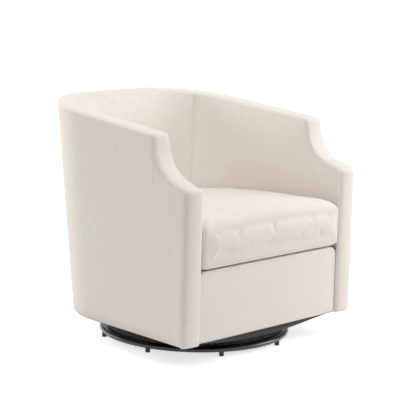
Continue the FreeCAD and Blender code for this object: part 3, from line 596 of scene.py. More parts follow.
def lay_weave(piece):
    """Weave map in metres, each face seen square on from its nearest side."""
    mesh = piece.data
    layer = mesh.uv_layers.new(name="weave")
    for polygon in mesh.polygons:
        size = [abs(value) for value in polygon.normal]
        first, second = ((1, 2), (0, 2), (0, 1))[size.index(max(size))]
        for loop in polygon.loop_indices:
            spot = mesh.vertices[mesh.loops[loop].vertex_index].co
            layer.data[loop].uv = (spot[first], spot[second])


# Outside panel: one plain cover of the cream linen cloth round the whole barrel.
# It is drawn over thin wadding, sewn to the boxing strip along the arm fronts
# and the top edge, and stapled under the frame at the hem.


def linen(name, light, mid, dark):
    """Cream linen-look cloth: crossed threads, slubs, and soft uneven tone."""
    material, shader, shade = new_finish(
        name, IOR=1.45, Specular_IOR_Level=0.25, Sheen_Weight=0.12, Sheen_Roughness=0.5
    )
    cloth = shade.add("UVMap", {"uv_map": "weave"})
    place = shade.add("TexCoord", output=3)
    split = {"Vector": cloth}
    across = shade.add("SeparateXYZ", {}, split, output=0)
    along = shade.add("SeparateXYZ", {}, split, output=1)
    drift = mottle(shade, cloth, 60.0, 2.0) * 3.0
    pitch = 2 * math.pi / 0.0011
    warp = shade.sum("SINE", across * pitch + drift)
    weft = shade.sum("SINE", along * pitch + drift)
    weave = shade.sum("MAXIMUM", warp, weft)
    slub_up = mottle(shade, stretched(shade, cloth, (560, 26, 1)), 1.0, 3.0, 0.6)
    slub_over = mottle(shade, stretched(shade, cloth, (30, 620, 1)), 1.0, 3.0, 0.6)
    slub = slub_up * 0.64 + slub_over * 0.36
    tone = mottle(shade, place, 7.0, 3.0, 0.55)
    colour = slub.between(0.36, 0.64).tint(linear(*dark), linear(*light))
    colour = (tone.between(0.3, 0.7) * 0.35).over(colour, linear(*mid))
    colour = ((1 - weave.between(-0.6, 0.5)) * 0.12).over(colour, linear(*dark))
    feed(shade, shader, "Base Color", colour)
    feed(shade, shader, "Roughness", 0.86 + slub * 0.1)
    relief = weave * 0.35 + slub * 1.6
    feed(shade, shader, "Normal", bumped(shade, relief, 0.35, 0.0005))
    return material


cream_linen = linen("cream_linen", (246, 240, 232), (241, 233, 223), (236, 228, 217))


def edge_tree(points):
    """Search tree that gives the nearest point of a seam."""
    tree = KDTree(len(points))
    for index, point in enumerate(points):
        tree.insert(point, index)
    tree.balance()
    return tree


def tuck(distance, reach, depth):
    """How far a cover is drawn in near its seam: a quarter round of that reach."""
    if distance >= reach:
        return 0.0
    share = 1 - distance / reach
    return depth * (1 - math.sqrt(max(0.0, 1 - share * share)))


OUTER_EDGE = edge_stations(outer_wall)
INNER_EDGE = edge_stations(inner_wall)
outer_seam = [outer_wall(station, height)[0] for station, height in OUTER_EDGE]
outer_seam_tree = edge_tree(outer_seam)
SEAM_DROPS = (0.0, 0.0015, 0.0035, 0.006, 0.009, 0.013, 0.018, 0.025, 0.034, 0.045)
SEAM_TUCK = (0.008, 0.005)
HEM_TUCK = (0.012, 0.005)
HEM_ROLL = ((0.0, 0.0), (0.0018, -0.001), (0.005, -0.0018), (0.012, -0.002), (0.03, -0.0015))
HEM_INSET = 0.0065
COVER_THICKNESS = 0.0085
FRONT_STEPS = [0.0, 0.004, 0.009, 0.015, 0.023, 0.033, 0.045]
RISER_FOOT = -0.262


def wall_columns(stations):
    """Column stations: close together at the front seams, then along the edge."""
    half = FRONT_STEPS + [station for station in stations if 0.05 < station <= 3.0]
    return half + [6 - station for station in reversed(half[:-1])]


def edge_slope(y):
    """How steep the top edge is over a depth, as the growth of a vertical drop."""
    rise = abs(crest(y + 0.003) - crest(y - 0.003)) / 0.006
    return min(6.0, math.sqrt(1 + rise * rise))


def column_heights(low, high, growth, body_rows):
    """Heights down one column: close together under the seam, even below."""
    drops = [drop * growth for drop in SEAM_DROPS]
    reach = drops[-1]
    room = (high - low) * 0.6
    if reach > room:
        drops = [drop * room / reach for drop in drops]
        reach = room
    heights = [high - drop for drop in drops]
    for index in range(1, body_rows + 1):
        heights.append(high - reach - (high - low - reach) * index / body_rows)
    return heights


def pucker(point, station, distance):
    """Small gathers beside the seam, strongest where the edge turns up the riser."""
    hollow = math.exp(-(((point.y - RISER_FOOT) / 0.05) ** 2)) * 0.0016
    spread = math.exp(-distance / 0.022)
    wave = noise.noise(Vector((point.y * 60, point.z * 60, station * 0.7)))
    slow = noise.noise(Vector((point.x * 5, point.y * 5, point.z * 4 + 3)))
    return hollow * spread * wave * 2 + slow * 0.0011 * (1 - math.exp(-distance / 0.03))


columns = wall_columns([station for station, _ in OUTER_EDGE])
outside_points = []
outside_map = []
body_rows = 26
row_count = len(SEAM_DROPS) + body_rows
run_length = 0.0
previous = None
for station in columns:
    top = top_of(outer_wall, station)
    base, _ = outer_wall(station, top)
    heights = column_heights(HEM + 0.004, top, edge_slope(base.y), body_rows)
    if previous is not None:
        run_length += (outer_wall(station, 0.3)[0] - previous).length
    previous = outer_wall(station, 0.3)[0]
    for height in heights:
        spot, out = outer_wall(station, height)
        _, _, distance = outer_seam_tree.find(spot)
        push = pucker(spot, station, distance) - tuck(distance, *SEAM_TUCK)
        hem = tuck(height - HEM, *HEM_TUCK)
        swell = 0.0012 * math.exp(-(((distance - 0.018) / 0.014) ** 2))
        outside_points.append(spot + out * (push + swell - hem))
        outside_map.append((run_length, height))
    spot, out = outer_wall(station, HEM)
    for inset, drop in HEM_ROLL:
        outside_points.append(spot - out * (HEM_INSET + inset) + Vector((0, 0, drop)))
        outside_map.append((run_length, HEM - inset))
    inner_spot, _ = outer_wall(station, top - 0.012)
    outside_points.append(inner_spot - out * COVER_THICKNESS)
    outside_map.append((run_length, top))
rows_each = row_count + 1 + len(HEM_ROLL)
outside_faces = grid_faces(len(columns), rows_each)
for column in range(len(columns) - 1):
    first = column * rows_each
    outside_faces.append(
        (first + rows_each - 1, first + 2 * rows_each - 1, first + rows_each, first)
    )
outside_faces.append(tuple(range(rows_each)))
last_column = (len(columns) - 1) * rows_each
outside_faces.append(tuple(reversed(range(last_column, last_column + rows_each))))
outside = new_piece("outside_cover", outside_points, outside_faces, cream_linen)
map_weave(outside, outside_map)
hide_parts("outside_panel")
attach(outside, "chair")


# Boxing strip: a padded band of the same cloth up both arm fronts, over the
# S-shaped arms and round the back. It is sewn to the covers on both sides and
# topstitched beside the outer seam, and stands a little proud between them.


STRIP_SQUARE = 0.42
STRIP_FOOT = -0.0075
STRIP_LOFT = 0.0085
STRIP_CROWN = 0.0026
FRONT_CROWN = 0.0042
FRONT_LEAN = 0.0022
FRONT_OVERHANG = 0.0055
SEAM_GAP = 0.0014
strip_points = []
strip_map = []
across_steps = 26
strip_length = 0.0
strip_count = min(len(OUTER_EDGE), len(INNER_EDGE))
half_count = (strip_count - 1) // 2


def strip_sides(index):
    """The two seam points of the strip at one place along it."""
    station, height = OUTER_EDGE[index]
    far_station, far_height = INNER_EDGE[index]
    return outer_wall(station, height)[0], inner_wall(far_station, far_height)[0]


strip_rows = [strip_sides(index) for index in range(strip_count)]
for index, (outer_point, inner_point) in enumerate(strip_rows):
    before = strip_rows[max(0, index - 1)]
    after = strip_rows[min(strip_count - 1, index + 1)]
    along = (after[0] + after[1] - before[0] - before[1]).normalized()
    across = inner_point - outer_point
    way_up = across.cross(along).normalized()
    if way_up.z < -0.2 or (abs(way_up.z) < 0.2 and way_up.y > 0):
        way_up = -way_up
    if index:
        strip_length += ((outer_point + inner_point - before[0] - before[1]) / 2).length
    width = across.length
    upright = max(0.0, min(1.0, (-way_up.y - 0.6) / 0.4)) if outer_point.y < -0.33 else 0.0
    for step in range(across_steps + 1):
        angle = math.pi * step / across_steps
        side = -math.copysign(abs(math.cos(angle)) ** STRIP_SQUARE, math.cos(angle))
        rise = abs(math.sin(angle)) ** STRIP_SQUARE
        crown = (STRIP_CROWN + FRONT_CROWN * upright) * (1 - side * side)
        crown += upright * FRONT_LEAN * (1 + side) * rise
        share = 0.5 + 0.5 * side * (1 - SEAM_GAP / width)
        share += upright * FRONT_OVERHANG / width * max(0.0, side)
        lift_up = STRIP_FOOT + STRIP_LOFT * rise + crown
        waver = noise.noise(Vector((strip_length * 9, share * 2, 1.7)))
        lift_up += waver * 0.0006 * (1 - side * side)
        strip_points.append(outer_point + across * share + way_up * lift_up)
        strip_map.append((share * width + 0.5, strip_length))
    for share in (0.85, 0.5, 0.15):
        strip_points.append(outer_point + across * share - way_up * COVER_THICKNESS)
        strip_map.append((share * width + 0.5, strip_length))
ring_size = across_steps + 4
strip_faces = grid_faces(strip_count, ring_size, closed=True)
strip_faces += end_caps(strip_count, ring_size)
strip = new_piece("boxing_band", strip_points, strip_faces, cream_linen)
map_weave(strip, strip_map)
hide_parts("boxing_strip")
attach(strip, "chair")


# Inside pads: two arm pads and the back pad, foam under the same cloth.
# They meet in two upright seams and are sewn to the boxing strip at the top.

SEAM_TURN = math.radians(35)
SEAM_RUN = math.radians(43)
PAD_LOW = 0.2855
PAD_HIGH = TOP + 0.004
PAD_SWELL = 0.008
PAD_THICKNESS = 0.011
TOP_TUCK = (0.009, 0.0055)
UPRIGHT_TUCK = (0.007, 0.003)
SEAM_STEPS = 60


def pad_seam(height):
    """Station of the right upright seam at one height, on a line in plan."""
    corner_start, corner_out = INNER_TOP(1.0)
    centre = corner_start - corner_out * INNER_TOP_CORNER
    seam_way = Vector((math.cos(SEAM_TURN), math.sin(SEAM_TURN)))
    seam_point = centre + seam_way * INNER_TOP_CORNER
    run = Vector((math.cos(SEAM_RUN), math.sin(SEAM_RUN)))
    low = 0.5
    high = 2.9
    for _ in range(30):
        middle = (low + high) / 2
        spot = inner_wall(middle, height)[0]
        offset = Vector((spot.x, spot.y)) - seam_point
        if offset.x * run.y - offset.y * run.x > 0:
            low = middle
        else:
            high = middle
    return (low + high) / 2


SEAM_HEIGHTS = [
    PAD_LOW + (PAD_HIGH - PAD_LOW) * index / SEAM_STEPS for index in range(SEAM_STEPS + 1)
]
SEAM_STATIONS = [pad_seam(height) for height in SEAM_HEIGHTS]


def seam_station(height):
    """Station of the right upright seam, read between the heights worked out above."""
    share = (height - PAD_LOW) / (PAD_HIGH - PAD_LOW) * SEAM_STEPS
    index = min(SEAM_STEPS - 1, max(0, int(share)))
    part = min(1.0, max(0.0, share - index))
    return SEAM_STATIONS[index] * (1 - part) + SEAM_STATIONS[index + 1] * part


inner_seam = [inner_wall(station, height)[0] for station, height in INNER_EDGE]
upright_seams = []
for side in (1, -1):
    seam_line = []
    for height in SEAM_HEIGHTS:
        spot = inner_wall(seam_station(height), height)[0]
        if crest(spot.y) > height:
            seam_line.append(Vector((spot.x * side, spot.y, height)))
    upright_seams.append(seam_line)
dense_uprights = []
for seam_line in upright_seams:
    for first, second in zip(seam_line, seam_line[1:]):
        for step in range(4):
            dense_uprights.append(first.lerp(second, step / 4))
top_seam_tree = edge_tree(inner_seam)
upright_seam_tree = edge_tree(dense_uprights)


def pad_piece(name, shares, wall_station):
    """Pad of the inside wall: shares run across it, wall_station places them."""

    def wall(share, height):
        return inner_wall(wall_station(share, height), height)

    points = []
    cloth = []
    length = 0.0
    previous = None
    for share in shares:
        top = top_of(wall, share)
        base = wall(share, top)[0]
        heights = column_heights(PAD_LOW, top, edge_slope(base.y), 22)
        here = wall(share, 0.5)[0]
        if previous is not None:
            length += (here - previous).length
        previous = here
        for height in heights:
            spot, out = wall(share, height)
            _, _, from_top = top_seam_tree.find(spot)
            _, _, from_upright = upright_seam_tree.find(spot)
            distance = min(from_top, from_upright)
            loft = max(0.0, min(1.0, (height - SEAT_LINE) / 0.09))
            swell = PAD_SWELL * loft * (1 - math.exp(-distance / 0.045))
            slow = noise.noise(Vector((spot.x * 6, spot.y * 6, spot.z * 5 + 9))) * 0.0012 * loft
            drawn_in = tuck(from_top, *TOP_TUCK) + tuck(from_upright, *UPRIGHT_TUCK)
            points.append(spot + out * (swell + slow - drawn_in))
            cloth.append((length, height))
        for height in (PAD_LOW, top - 0.012):
            spot, out = wall(share, height)
            points.append(spot - out * PAD_THICKNESS)
            cloth.append((length, height))
    rows_here = len(heights) + 2
    faces = grid_faces(len(shares), rows_here, closed=True)
    faces += end_caps(len(shares), rows_here)
    pad = new_piece(name, points, faces, cream_linen)
    map_weave(pad, cloth)
    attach(pad, "chair")
    return pad


arm_edge = [station for station, _ in INNER_EDGE[: half_count + 1]]
seam_here = seam_station(0.72)
arm_shares = list(FRONT_STEPS)
arm_shares += [s / seam_here for s in arm_edge if 0.05 * seam_here < s < 0.955 * seam_here]
arm_shares += [0.965, 0.975, 0.982, 0.988, 0.993, 0.997, 1.0]
back_shares = [0.0, 0.0016, 0.0036, 0.006, 0.009, 0.013, 0.018, 0.026]
back_shares += [0.035 + 0.93 * index / 60 for index in range(61)]
back_shares += [1 - share for share in reversed(back_shares[:8])]


def right_station(share, height):
    return share * seam_station(height)


def left_station(share, height):
    return 6 - share * seam_station(height)


def back_station(share, height):
    first = seam_station(height)
    return first + share * (6 - 2 * first)


right_pad = pad_piece("inside_arm_cover_right", arm_shares, right_station)
left_pad = pad_piece("inside_arm_cover_left", arm_shares, left_station)
back_pad = pad_piece("inside_back_cover", back_shares, back_station)
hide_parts("inside_arm_pad_right")
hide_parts("inside_arm_pad_left")
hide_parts("inside_back_pad")


# Front rail pad: the padded panel between the arm fronts, below the cushion.
# Foam under the cloth on a hardwood board, with round upper corners. It stands
# a little back from the arm fronts, and its cloth is stapled under the board.

RAIL_HALF = 0.3183
RAIL_TOP = 0.2925
RAIL_FRONT = -0.3681
RAIL_REAR = -0.3431
RAIL_CORNER = 0.026
RAIL_CROWN = 0.0042
RAIL_TUCK = (0.009, 0.0065)
RAIL_UNDER = (0.007, 0.006)


def rail_depth(x, z):
    """How far a spot on the rail's front lies from its nearest free edge."""
    inner_x = RAIL_HALF - RAIL_CORNER
    inner_z = RAIL_TOP - RAIL_CORNER
    if abs(x) > inner_x and z > inner_z:
        return RAIL_CORNER - math.hypot(abs(x) - inner_x, z - inner_z)
    return min(RAIL_HALF - abs(x), RAIL_TOP - z)


def rail_half(z):
    """Half width of the rail pad at one height, less at its round corners."""
    over = z - (RAIL_TOP - RAIL_CORNER)
    if over <= 0:
        return RAIL_HALF
    return RAIL_HALF - RAIL_CORNER + math.sqrt(max(0.0, RAIL_CORNER**2 - over**2))


rail_rows = [RAIL_TOP - drop for drop in (0.0, 0.0003, 0.0012, 0.003, 0.0055, 0.009, 0.0135)]
rail_rows += [RAIL_TOP - 0.019 - 0.19 * index / 24 for index in range(25)]
rail_rows += [HEM + 0.005, HEM + 0.0025, HEM + 0.001, HEM]
near_shares = (0.0, 0.003, 0.008, 0.015, 0.024, 0.036)
rail_shares = [*near_shares, *(0.05 + 0.9 * index / 56 for index in range(57))]
rail_shares += [1 - share for share in reversed(near_shares)]
rail_points = []
for z in rail_rows:
    half = rail_half(z)
    under = tuck(z - HEM, *RAIL_UNDER)
    for share in rail_shares:
        x = half * (2 * share - 1)
        depth = max(0.0, rail_depth(x, z))
        crown = RAIL_CROWN * (1 - math.exp(-depth / 0.04))
        slow = noise.noise(Vector((x * 9, z * 9, 4.2))) * 0.0012
        y = RAIL_FRONT + tuck(depth, *RAIL_TUCK) - crown - slow + under
        rail_points.append(Vector((x, y, z)))
    rail_points.append(Vector((half - 0.001, RAIL_REAR, z)))
    rail_points.append(Vector((0.001 - half, RAIL_REAR, z)))
rail_ring = len(rail_shares) + 2
rail_faces = grid_faces(len(rail_rows), rail_ring, closed=True)
rail_faces += end_caps(len(rail_rows), rail_ring)
rail = new_piece("front_rail_cover", rail_points, rail_faces, cream_linen)
lay_weave(rail)
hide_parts("front_rail_pad")
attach(rail, "chair")


# Dust cover: thin black non-woven cloth stapled under the hem, with a square
# hole for the mount board. It hangs a little slack behind the front rail.

AXIS = Vector((0.0, -0.0481))
DUST_FRONT = -0.3645
HOLE_HALF = 0.1505


def black_cloth():
    material, shader, shade = new_finish("black_non_woven", Sheen_Weight=0.1)
    place = shade.add("TexCoord", output=3)
    fibres = mottle(shade, stretched(shade, place, (1, 1, 0.2)), 700.0, 4.0, 0.7)
    dots = shade.add("TexVoronoi", {}, {"Vector": place, "Scale": 320.0})
    feed(shade, shader, "Base Color", fibres.tint(linear(20, 20, 21), linear(40, 40, 42)))
    feed(shade, shader, "Roughness", 0.8 + fibres * 0.15)
    feed(shade, shader, "Normal", bumped(shade, fibres + dots.between(0, 0.4), 0.4, 0.0003))
    return material


def ray_to_loop(centre, angle, loop):
    """Where a ray from the centre leaves a closed outline."""
    way = Vector((math.cos(angle), math.sin(angle)))
    best = 0.0
    for first, second in zip(loop, loop[1:] + loop[:1]):
        side = second - first
        turn = way.x * side.y - way.y * side.x
        if abs(turn) < 1e-12:
            continue
        gap = first - centre
        reach = (gap.x * side.y - gap.y * side.x) / turn
        share = (gap.x * way.y - gap.y * way.x) / turn
        if reach > 0 and -1e-9 <= share <= 1 + 1e-9:
            best = max(best, reach)
    return centre + way * best


def u_loop(plan, inset, front):
    """Closed outline in plan, drawn in by an inset and cut off at a front line."""
    loop = []
    for index in range(181):
        station = 6 * index / 180
        spot, out = plan(station)
        spot = spot - out * inset
        loop.append(Vector((spot.x, max(spot.y, front))))
    return loop


def sheet_between(name, outer_loop, inner_loop, centre, rings, around, height, thickness, paint):
    """Thin closed sheet between two outlines; height gives each point's level."""
    top = []
    for ring in range(rings + 1):
        share = (1 - math.cos(math.pi * ring / rings)) / 2
        for step in range(around):
            angle = 2 * math.pi * step / around
            near = ray_to_loop(centre, angle, inner_loop)
            far = ray_to_loop(centre, angle, outer_loop)
            spot = near.lerp(far, share)
            top.append(Vector((spot.x, spot.y, height(spot.x, spot.y, share))))
    count = len(top)
    points = top + [point - Vector((0, 0, thickness)) for point in top]
    faces = grid_faces(rings + 1, around, closed=True)
    faces += [
        tuple(reversed(face)) for face in grid_faces(rings + 1, around, count, closed=True)
    ]
    for step in range(around):
        following = (step + 1) % around
        faces.append((step, count + step, count + following, following))
        rim = rings * around
        faces.append(
            (rim + following, count + rim + following, count + rim + step, rim + step)
        )
    faces = [tuple(reversed(face)) for face in faces]
    return new_piece(name, points, faces, paint), faces[: rings * around], points


def square_loop(centre, half):
    """Closed square outline in plan round a centre."""
    return [
        centre + Vector((half * x, half * y)) for x, y in ((1, 1), (-1, 1), (-1, -1), (1, -1))
    ]


def dust_level(x, y, share):
    """Level under the hem: slack towards the front, drawn tight at its staples."""
    edge = min(1.0, max(0.0, (y - DUST_FRONT) / 0.016))
    hold = math.sin(math.pi * min(1.0, share * 0.98 + 0.01)) ** 0.35
    front_slack = 0.027 * max(0.0, 1 - (x / 0.32) ** 2)
    front_slack *= math.exp(-(((y + 0.345) / 0.09) ** 2)) * math.sqrt(edge)
    pleat = noise.noise(Vector((x * 30, y * 8, 2.0))) * 0.001 * hold
    slack = 0.003 * hold
    return HEM - 0.0002 - max(front_slack, slack * edge) + pleat * edge


dust, dust_faces, dust_points = sheet_between(
    "dust_cloth",
    u_loop(OUTER_LOW, 0.008, DUST_FRONT),
    square_loop(AXIS, HOLE_HALF),
    AXIS,
    26,
    180,
    dust_level,
    0.0007,
    black_cloth(),
)
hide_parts("dust_cover")
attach(dust, "chair")


# Seat deck: grey platform cloth over felt, stretched over the springs.
# It is stapled to the rear rail and the front board, and shows only when the
# cushion is lifted out.


def deck_paint():
    material, shader, shade = new_finish("platform_cloth", Sheen_Weight=0.1)
    place = shade.add("TexCoord", output=3)
    across = shade.add("SeparateXYZ", {}, {"Vector": place}, output=0)
    along = shade.add("SeparateXYZ", {}, {"Vector": place}, output=1)
    warp = shade.sum("SINE", across * (2 * math.pi / 0.0016))
    weft = shade.sum("SINE", along * (2 * math.pi / 0.0016))
    weave = shade.sum("MAXIMUM", warp, weft)
    lint = mottle(shade, place, 90.0, 4.0, 0.6)
    cloth = lint.between(0.35, 0.7).tint(linear(176, 170, 160), linear(204, 199, 190))
    cloth = ((1 - weave.between(-0.5, 0.6)) * 0.3).over(cloth, linear(150, 144, 135))
    feed(shade, shader, "Base Color", cloth)
    feed(shade, shader, "Roughness", 0.85 + lint * 0.1)
    feed(shade, shader, "Normal", bumped(shade, weave, 0.4, 0.0004))
    return material


def deck_level(x, y, share):
    """Level of the deck: faint rows where the springs' bars bear under the felt."""
    row = 0.5 + 0.5 * math.cos((y + 0.32) * 2 * math.pi / 0.036)
    line = 0.5 + 0.5 * math.cos(x * 2 * math.pi / 0.096)
    inside = min(1.0, (1 - share) / 0.12)
    return 0.2952 + 0.0006 * row * line * inside


DECK_CENTRE = Vector((0.0, -0.08))
deck, deck_faces, deck_points = sheet_between(
    "platform_deck",
    u_loop(INNER_SEAT, 0.0006, -0.3421),
    square_loop(DECK_CENTRE, 0.002),
    DECK_CENTRE,
    46,
    180,
    deck_level,
    0.0036,
    deck_paint(),
)
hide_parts("seat_deck")
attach(deck, "chair")


# Back webbing: three woven elastic straps round the inside of the back frame.
# They are stapled to the stiles behind the foam and carry the back pad.


def webbing_paint():
    material, shader, shade = new_finish("woven_webbing")
    cloth = shade.add("UVMap", {"uv_map": "weave"})
    across = shade.add("SeparateXYZ", {}, {"Vector": cloth}, output=0)
    along = shade.add("SeparateXYZ", {}, {"Vector": cloth}, output=1)
    rib = shade.sum("SINE", along * (2 * math.pi / 0.0022))
    cord = shade.sum("SINE", across * (2 * math.pi / 0.0018))
    edge = 1 - shade.sum("ABSOLUTE", across - 0.025).between(0.0155, 0.017)
    edge = edge * shade.sum("ABSOLUTE", across - 0.025).between(0.0125, 0.014)
    cloth_colour = cord.between(-0.6, 0.6).tint(linear(158, 146, 124), linear(190, 178, 154))
    feed(shade, shader, "Base Color", (edge * 0.8).over(cloth_colour, linear(52, 60, 74)))
    feed(shade, shader, "Roughness", 0.82 + rib * 0.05)
    feed(shade, shader, "Normal", bumped(shade, rib + cord * 0.5, 0.5, 0.0005))
    return material


STRAP_WIDTH = 0.05
STRAP_OUTSIDE = 0.0374
STRAP_INSIDE = 0.0392
strap_ring = [(quarter / 4, STRAP_OUTSIDE) for quarter in range(5)]
strap_ring += [(quarter / 4, STRAP_INSIDE) for quarter in reversed(range(5))]
strap_points = []
strap_faces = []
strap_cloth = []
strap_stations = [1.35 + 3.3 * index / 90 for index in range(91)]
for low in (0.35, 0.45, 0.55):
    first = len(strap_points)
    for station in strap_stations:
        stretch = 0.62 * station
        for share, inset in strap_ring:
            spot, out = outer_wall(station, low + STRAP_WIDTH * share)
            strap_points.append(spot - out * inset)
            strap_cloth.append((STRAP_WIDTH * share, stretch))
    strap_faces += grid_faces(len(strap_stations), len(strap_ring), first, closed=True)
    strap_faces += end_caps(len(strap_stations), len(strap_ring), first)
straps = new_piece("webbing_straps", strap_points, strap_faces, webbing_paint(), smooth=False)
map_weave(straps, strap_cloth)
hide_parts("back_webbing")
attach(straps, "chair")


# Seat cushion: a loose box cushion, foam in a zipped cover of the same cloth.
# Its front is bowed and its top crowned, and the cover is sewn in one with two
# rows of topstitching along the lower front edge. It lifts straight out.

CUSHION_LOW = 0.2965
CUSHION_FRONT = -0.3845
SUMMIT = Vector((0.0, -0.235))
SUMMIT_LEVEL = 0.4555
DOME_RADIUS = 3.0
SIDE_GAP = 0.0052
RING_POINTS = 240


def cushion_ring(inset, corner, front_inset):
    """Closed outline in plan of the cushion, all round from the right front."""
    front = CUSHION_FRONT + front_inset
    side = []
    for index in range(73):
        station = 6 * index / 72
        spot, out = INNER_SEAT(station)
        side.append(spot - out * (SIDE_GAP + inset))
    side = [spot for spot in side if spot.y > front + corner]
    start = side[0] + (side[0] - side[1]) * ((side[0].y - front) / (side[1].y - side[0].y))
    loop = []

    def bend(first, control, last):
        """Round corner of nine points."""
        for step in range(9):
            share = step / 8
            loop.append(
                first * (1 - share) ** 2 + control * 2 * share * (1 - share) + last * share**2
            )

    low_corner = Vector((start.x, front))
    side_in = low_corner + (side[0] - low_corner).normalized() * corner
    bend(Vector((start.x - corner, front)), low_corner, side_in)
    loop.extend(side)
    loop.extend([Vector((-spot.x, spot.y)) for spot in reversed(loop[:9])])
    return loop


def dome(spot):
    """Level of the cushion's crowned top over one place in plan."""
    return SUMMIT_LEVEL - (spot - SUMMIT).length_squared / (2 * DOME_RADIUS)


def resampled(loop, count):
    """Closed outline stepped evenly, so that rings of any length match."""
    lengths = [0.0]
    for first, second in zip(loop, loop[1:] + loop[:1]):
        lengths.append(lengths[-1] + (second - first).length)
    total = lengths[-1]
    closed = loop + loop[:1]
    result = []
    index = 0
    for step in range(count):
        target = total * step / count
        while lengths[index + 1] < target:
            index += 1
        share = (target - lengths[index]) / max(1e-9, lengths[index + 1] - lengths[index])
        result.append(closed[index].lerp(closed[index + 1], share))
    return result


def cushion_shell(name, shrink, paint):
    """Closed cushion form, drawn in all round by shrink."""
    rings = []
    low = CUSHION_LOW + shrink
    for share in (0.02, 0.3, 0.6, 0.85, 0.96):
        loop = resampled(cushion_ring(0.010 + shrink, 0.03, 0.016 + shrink), RING_POINTS)
        rings.append([(DECK_CENTRE.lerp(spot, share), low) for spot in loop])
    for index in range(7):
        bend = math.pi / 2 * index / 6
        draw = 1 - math.sin(bend)
        rise = 1 - math.cos(bend)
        loop = cushion_ring(0.018 * draw + shrink, 0.016 + 0.02 * draw, 0.019 * draw + shrink)
        level = low + 0.020 * rise
        rings.append([(spot, level) for spot in resampled(loop, RING_POINTS)])
    for index in range(10):
        bend = math.pi / 2 * index / 9
        draw = 1 - math.cos(bend)
        drop = 1 - math.sin(bend)
        loop = cushion_ring(0.028 * draw + shrink, 0.014 + 0.026 * draw, 0.023 * draw + shrink)
        loop = resampled(loop, RING_POINTS)
        rings.append([(spot, dome(spot) - 0.027 * drop - shrink) for spot in loop])
    for share in (0.96, 0.9, 0.8, 0.65, 0.5, 0.3, 0.12, 0.02):
        loop = cushion_ring(0.028 + shrink, 0.04, 0.023 + shrink)
        ring = []
        for spot in resampled(loop, RING_POINTS):
            inside = DECK_CENTRE.lerp(spot, share)
            ring.append((inside, dome(inside) - shrink))
        rings.append(ring)
    points = [Vector((spot.x, spot.y, level)) for ring in rings for spot, level in ring]
    faces = grid_faces(len(rings), RING_POINTS, closed=True) + end_caps(len(rings), RING_POINTS)
    return new_piece(name, points, faces, paint)


def foam_paint():
    material, shader, shade = new_finish("cushion_foam")
    place = shade.add("TexCoord", output=3)
    cells = shade.add("TexVoronoi", {}, {"Vector": place, "Scale": 700.0})
    patch = mottle(shade, place, 12.0, 3.0)
    feed(shade, shader, "Base Color", patch.tint(linear(226, 216, 184), linear(238, 230, 204)))
    feed(shade, shader, "Roughness", 0.9 + patch * 0.08)
    feed(shade, shader, "Normal", bumped(shade, cells, 0.5, 0.0008))
    return material


core = cushion_shell("foam_core", 0.0062, foam_paint())
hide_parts("cushion_core")
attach(core, "cushion")

VOXEL = 0.006
PRESSURE = 4.0
FRAMES = 20
SWELL_CAP = 0.006
LOW_CAP = 0.003
LOW_PART = 0.31
DECK_TOP = 0.2962
cushion = cushion_shell("seat_cushion", 0.0, cream_linen)
bpy.context.view_layer.objects.active = cushion
remesh = cushion.modifiers.new("even", "REMESH")
remesh.mode = "VOXEL"
remesh.voxel_size = VOXEL
remesh.use_smooth_shade = True
even = bpy.data.meshes.new_from_object(
    cushion.evaluated_get(bpy.context.evaluated_depsgraph_get())
)
cushion.modifiers.remove(remesh)
cushion.data = even
rest = [vertex.co.copy() for vertex in even.vertices]
cloth = cushion.modifiers.new("swell", "CLOTH")
cloth.settings.use_pressure = True
cloth.settings.uniform_pressure_force = PRESSURE
cloth.settings.quality = 5
cloth.settings.effector_weights.gravity = 0
for step in range(1, FRAMES + 1):
    bpy.context.scene.frame_set(step)
swollen = bpy.data.meshes.new_from_object(
    cushion.evaluated_get(bpy.context.evaluated_depsgraph_get())
)
cushion.modifiers.remove(cloth)
bpy.context.scene.frame_set(1)
for vertex, start in zip(swollen.vertices, rest):
    move = vertex.co - start
    cap = SWELL_CAP if start.z > LOW_PART else LOW_CAP
    if move.length > cap:
        move = move * (cap / move.length)
    place = start + move
    place.z = max(place.z, DECK_TOP)
    vertex.co = place
cushion.data = swollen
lay_weave(cushion)
for polygon in cushion.data.polygons:
    polygon.use_smooth = True
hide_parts("cushion_cover")
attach(cushion, "cushion")


# Zipper: a nylon coil zipper in the back boxing of the cushion cover.
# Tape with a row of coil teeth down the middle and a small metal pull.

ZIP_LEVEL = 0.3405
ZIP_HALF = 0.1475
BLOCK = ((-1, -0.7), (-0.7, -1), (0.7, -1), (1, -0.7), (1, 0.7), (0.7, 1), (-0.7, 1), (-1, 0.7))
zip_points = []
zip_faces = []


def zip_block(centre, across, out, width, depth, height):
    """Small rounded block, for one tooth or a length of tape."""
    first = len(zip_points)
    for deep in (0, 1):
        for along, level in BLOCK:
            zip_points.append(
                centre
                + across * (along * width / 2)
                + Vector((0, 0, level * height / 2))
                + out * (depth * deep)
            )
    zip_faces.append(tuple(range(first, first + 8)))
    zip_faces.append(tuple(reversed(range(first + 8, first + 16))))
    for index in range(8):
        following = (index + 1) % 8
        near, far = first + index, first + following
        zip_faces.append((near, near + 8, far + 8, far))


def cushion_back(x):
    """Back of the cushion at one place across it, and the way out there."""
    loop = [INNER_SEAT(3 - 0.9 * index / 60) for index in range(61)]
    spot, out = min(loop, key=lambda pair: abs(pair[0].x - abs(x)))
    sign = 1 if x >= 0 else -1
    return Vector((x, spot.y - 0.0036, ZIP_LEVEL)), Vector((out.x * sign, out.y, 0)).normalized()


def zip_row(count, start, end, size):
    """Blocks of one size in a row along the zipper: tape, coil teeth or the pull."""
    for index in range(count):
        spot, out = cushion_back(start + (end - start) * index / max(1, count - 1))
        zip_block(spot, Vector((out.y, -out.x, 0)), out, *size)


